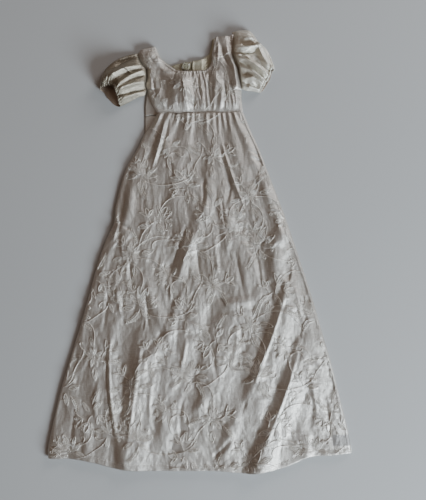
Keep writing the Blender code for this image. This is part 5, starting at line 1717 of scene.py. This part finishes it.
def thread_silk():
    """Glossy embroidery thread, a little lighter than the cloth."""
    paint = Paint("embroidery_thread")
    tone = paint.noise(paint.place((90.0, 90.0, 90.0), flat=False))
    paint.set(Base_Color=paint.mix(tone.between(0.35, 0.65), THREAD_LIGHT, THREAD_DEEP),
              Roughness=0.38 + tone * 0.1)
    twist = paint.noise(paint.place((3200.0, 3200.0, 3200.0), flat=False))
    paint.bump(twist, 0.35, 0.0003)
    paint.set(Metallic=0.58, Specular_IOR_Level=0.7)
    return paint.material


def snap_plastic():
    """Clear plastic gone yellow, a little cloudy."""
    paint = Paint("snap_plastic")
    cloud = paint.noise(paint.place((900.0, 900.0, 900.0), flat=False))
    paint.set(Base_Color=paint.mix(cloud, PLASTIC_LIGHT, PLASTIC_DEEP),
              Roughness=0.28 + cloud * 0.12)
    paint.bump(cloud, 0.1, 0.0002)
    return paint.material


def floor_paint():
    """A plain pale matt floor."""
    paint = Paint("floor")
    tone = paint.noise(paint.place((3.0, 3.0, 3.0), flat=False))
    paint.set(Base_Color=paint.mix(tone, FLOOR_LIGHT, FLOOR_DEEP), Roughness=0.8)
    return paint.material


# Camera and lights
CAMERA_TARGET = (0.00984, -0.00434, 0.0)
CAMERA_DISTANCE = 0.4278
CAMERA_ELEVATION = 85.0
CAMERA_LENS = 40.0
FLOOR_HALF = 1.6
FLOOR_Z = -0.0003

# An area light: its place, its width and height, its watts and its colour
Light = namedtuple("Light", "name place size power colour")
LIGHTS = (
    Light("window", (0.94, -0.79, 0.49), (0.65, 0.45), 36.0, (0.75, 0.885, 1.0)),
    Light("side_window", (0.75, 0.85, 0.42), (0.5, 0.4), 6.5, (0.92, 0.95, 1.0)),
)
ROOM_COLOUR = (1.0, 0.77, 0.62, 1.0)
ROOM_STRENGTH = 0.16


def add_camera():
    """The camera at the photograph's angle, looking down on the gown."""
    data = bpy.data.cameras.new("camera")
    data.lens = CAMERA_LENS
    data.sensor_width = 36.0
    camera = bpy.data.objects.new("camera", data)
    angle = math.radians(CAMERA_ELEVATION)
    back = Vector((0.0, -math.cos(angle), math.sin(angle)))
    camera.location = Vector(CAMERA_TARGET) + CAMERA_DISTANCE * back
    camera.rotation_euler = (-back).to_track_quat("-Z", "Y").to_euler()
    data.clip_start = 0.01
    bpy.context.scene.collection.objects.link(camera)
    bpy.context.scene.camera = camera


def add_light(row):
    """An area light that faces the gown."""
    data = bpy.data.lights.new(row.name, "AREA")
    data.shape = "RECTANGLE"
    data.size, data.size_y = row.size
    data.energy = row.power
    data.color = row.colour
    light = bpy.data.objects.new(row.name, data)
    light.location = row.place
    light.rotation_euler = (-Vector(row.place)).to_track_quat("-Z", "Y").to_euler()
    bpy.context.scene.collection.objects.link(light)


def add_world():
    """The dim warm light of the room."""
    world = bpy.data.worlds.new("room")
    world.use_nodes = True
    shade = world.node_tree.nodes["Background"]
    shade.inputs["Color"].default_value = ROOM_COLOUR
    shade.inputs["Strength"].default_value = ROOM_STRENGTH
    bpy.context.scene.world = world


def add_floor():
    """The floor that the gown lies on."""
    mesh = bpy.data.meshes.new("floor")
    corners = [(-1, -1), (1, -1), (1, 1), (-1, 1)]
    mesh.from_pydata([(x * FLOOR_HALF, y * FLOOR_HALF, FLOOR_Z) for x, y in corners], [],
                     [(0, 1, 2, 3)])
    mesh.materials.append(floor_paint())
    floor = bpy.data.objects.new("floor", mesh)
    bpy.context.scene.collection.objects.link(floor)


# A box of worked cloth: its corners, where the repeat starts, and the seed of its unevenness
Work = namedtuple("Work", "low high start seed")
SKIRT_WORK = Work((-115, -172), (115, 104), (-62.0, -166.0), 7)
BODICE_WORK = Work((-46, 103), (34, 156), (-50.0, 86.0), 8)
WORK_FROM_SIDE = 1.2
WORK_FROM_WAIST = 1.5
WORK_FROM_HEM = 1.0
WORK_FROM_NECK = 1.8
NECK_ROW_DROP = 1.6


def inside_skirt(x, y):
    """Where embroidery shows on the front skirt: clear of the seams, the hem and the patch."""
    left = outline_x(FRONT_ROLLED_SIDE + SKIRT_LEFT, y)
    right = outline_x(SKIRT_RIGHT, y)
    waist = np.interp(x, *np.array(FRONT_WAIST).T)
    hem = np.interp(x, *np.array(HEM).T)
    x0, x1, y0, y1 = PATCH_BOX
    patched = (x > x0) & (x < x1) & (y > y0) & (y < y1)
    return ((x > left + WORK_FROM_SIDE) & (x < right - WORK_FROM_SIDE)
            & (y < waist - WORK_FROM_WAIST) & (y > hem + WORK_FROM_HEM) & ~patched)


def inside_bodice(x, y):
    """Where embroidery shows on the front bodice."""
    left = outline_x(FRONT_SIDE_LEFT + STRAP_LEFT_OUTER, y)
    right = outline_x(FRONT_SIDE_RIGHT + STRAP_RIGHT_OUTER, y)
    waist = np.interp(x, *np.array(FRONT_WAIST).T)
    path = curve(NECK_LINE)(np.linspace(0, 1, 200))
    neck = np.interp(x, path[:, 0], path[:, 1], left=160.0, right=160.0)
    return ((x > left + WORK_FROM_WAIST) & (x < right - WORK_FROM_WAIST)
            & (y > waist + WORK_FROM_WAIST) & (y < neck - WORK_FROM_NECK))


def dress(obj, nodes):
    """Puts a piece on the body in place of its solids."""
    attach(obj, "root")
    if nodes:
        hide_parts(*nodes)


def main():
    """Makes every piece, puts it in place of its solid, and lights the gown."""
    cream = silk("cream_silk", SILK_LIGHT, SILK_DEEP)
    # A darker copy of the silk with painted shade for the left sleeve
    warm = silk("silk_sleeve_left_painted_shade", LEFT_SLEEVE_PAINTED_SHADE_PALE, LEFT_SLEEVE_PAINTED_SHADE_DEEP)
    # A lighter copy of the silk with painted light for the right sleeve
    pale = silk("silk_sleeve_right_painted_light", RIGHT_SLEEVE_PAINTED_LIGHT_PALE, RIGHT_SLEEVE_PAINTED_LIGHT_DEEP)
    inside = silk("silk_inside", INSIDE_LIGHT, INSIDE_DEEP)
    # Painted shade for the sleeves' inner faces
    sleeve_inside_shade = silk("silk_sleeve_inside_painted_shade", HOLLOW_PAINTED_SHADE_PALE, HOLLOW_PAINTED_SHADE_DEEP)
    thread = thread_silk()
    plastic = snap_plastic()
    sweep = thread_tree()
    sew = stitch_tree()

    skirt_paths = clipped(embroidered(SKIRT_WORK), inside_skirt)
    bodice_paths = clipped(embroidered(BODICE_WORK), inside_bodice)

    front = skirt_front(skirt_paths, cream)
    dress(front, ["skirt_front"])
    for obj, node in zip(skirt_backs(cream), ("skirt_back_left", "skirt_back_right")):
        dress(obj, [node])
    bodice = bodice_front(bodice_paths, cream)
    dress(bodice, ["bodice_front"])
    for obj, node in zip(bodice_backs(inside, cream), ("bodice_back_left", "bodice_back_right")):
        dress(obj, [node])
    for sleeve, outside in ((LEFT_SLEEVE, warm), (RIGHT_SLEEVE, pale)):
        obj = sleeve_cloth(sleeve, outside, sleeve_inside_shade)
        dress(obj, [sleeve.name])

    for obj, name, paths, radius in ((front, "skirt_embroidery", skirt_paths, SKIRT_THREAD),
                                     (bodice, "bodice_embroidery", bodice_paths, BODICE_THREAD)):
        dress(embroidery(obj, name, paths, radius, sweep, thread), [])
    neck_row = curve(NECK_LINE)(np.linspace(0.01, 0.99, 200)) - (0.0, NECK_ROW_DROP)
    dress(stitches(bodice, "neck_stitches", [neck_row], sew, thread), [])
    hem_row = curve(shifted(HEM, 0.0, HEM_DEPTH))(np.linspace(0.006, 0.994, 300))
    dress(stitches(front, "hem_stitches", [hem_row], sew, thread), [])

    dress(turned_socket(plastic), ["snap_socket"])
    bars = sewing_bars()
    bars = sweep.run(lines_object("snap_sewing", bars),
                     {"Radius": SEWING_THREAD * MM, "Sides": THREAD_SIDES, "Material": thread})
    dress(bars, [])
    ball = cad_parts["snap_ball"]
    ball.data.materials.clear()
    ball.data.materials.append(plastic)

    add_floor()
    add_camera()
    add_world()
    for light in LIGHTS:
        add_light(light)


main()
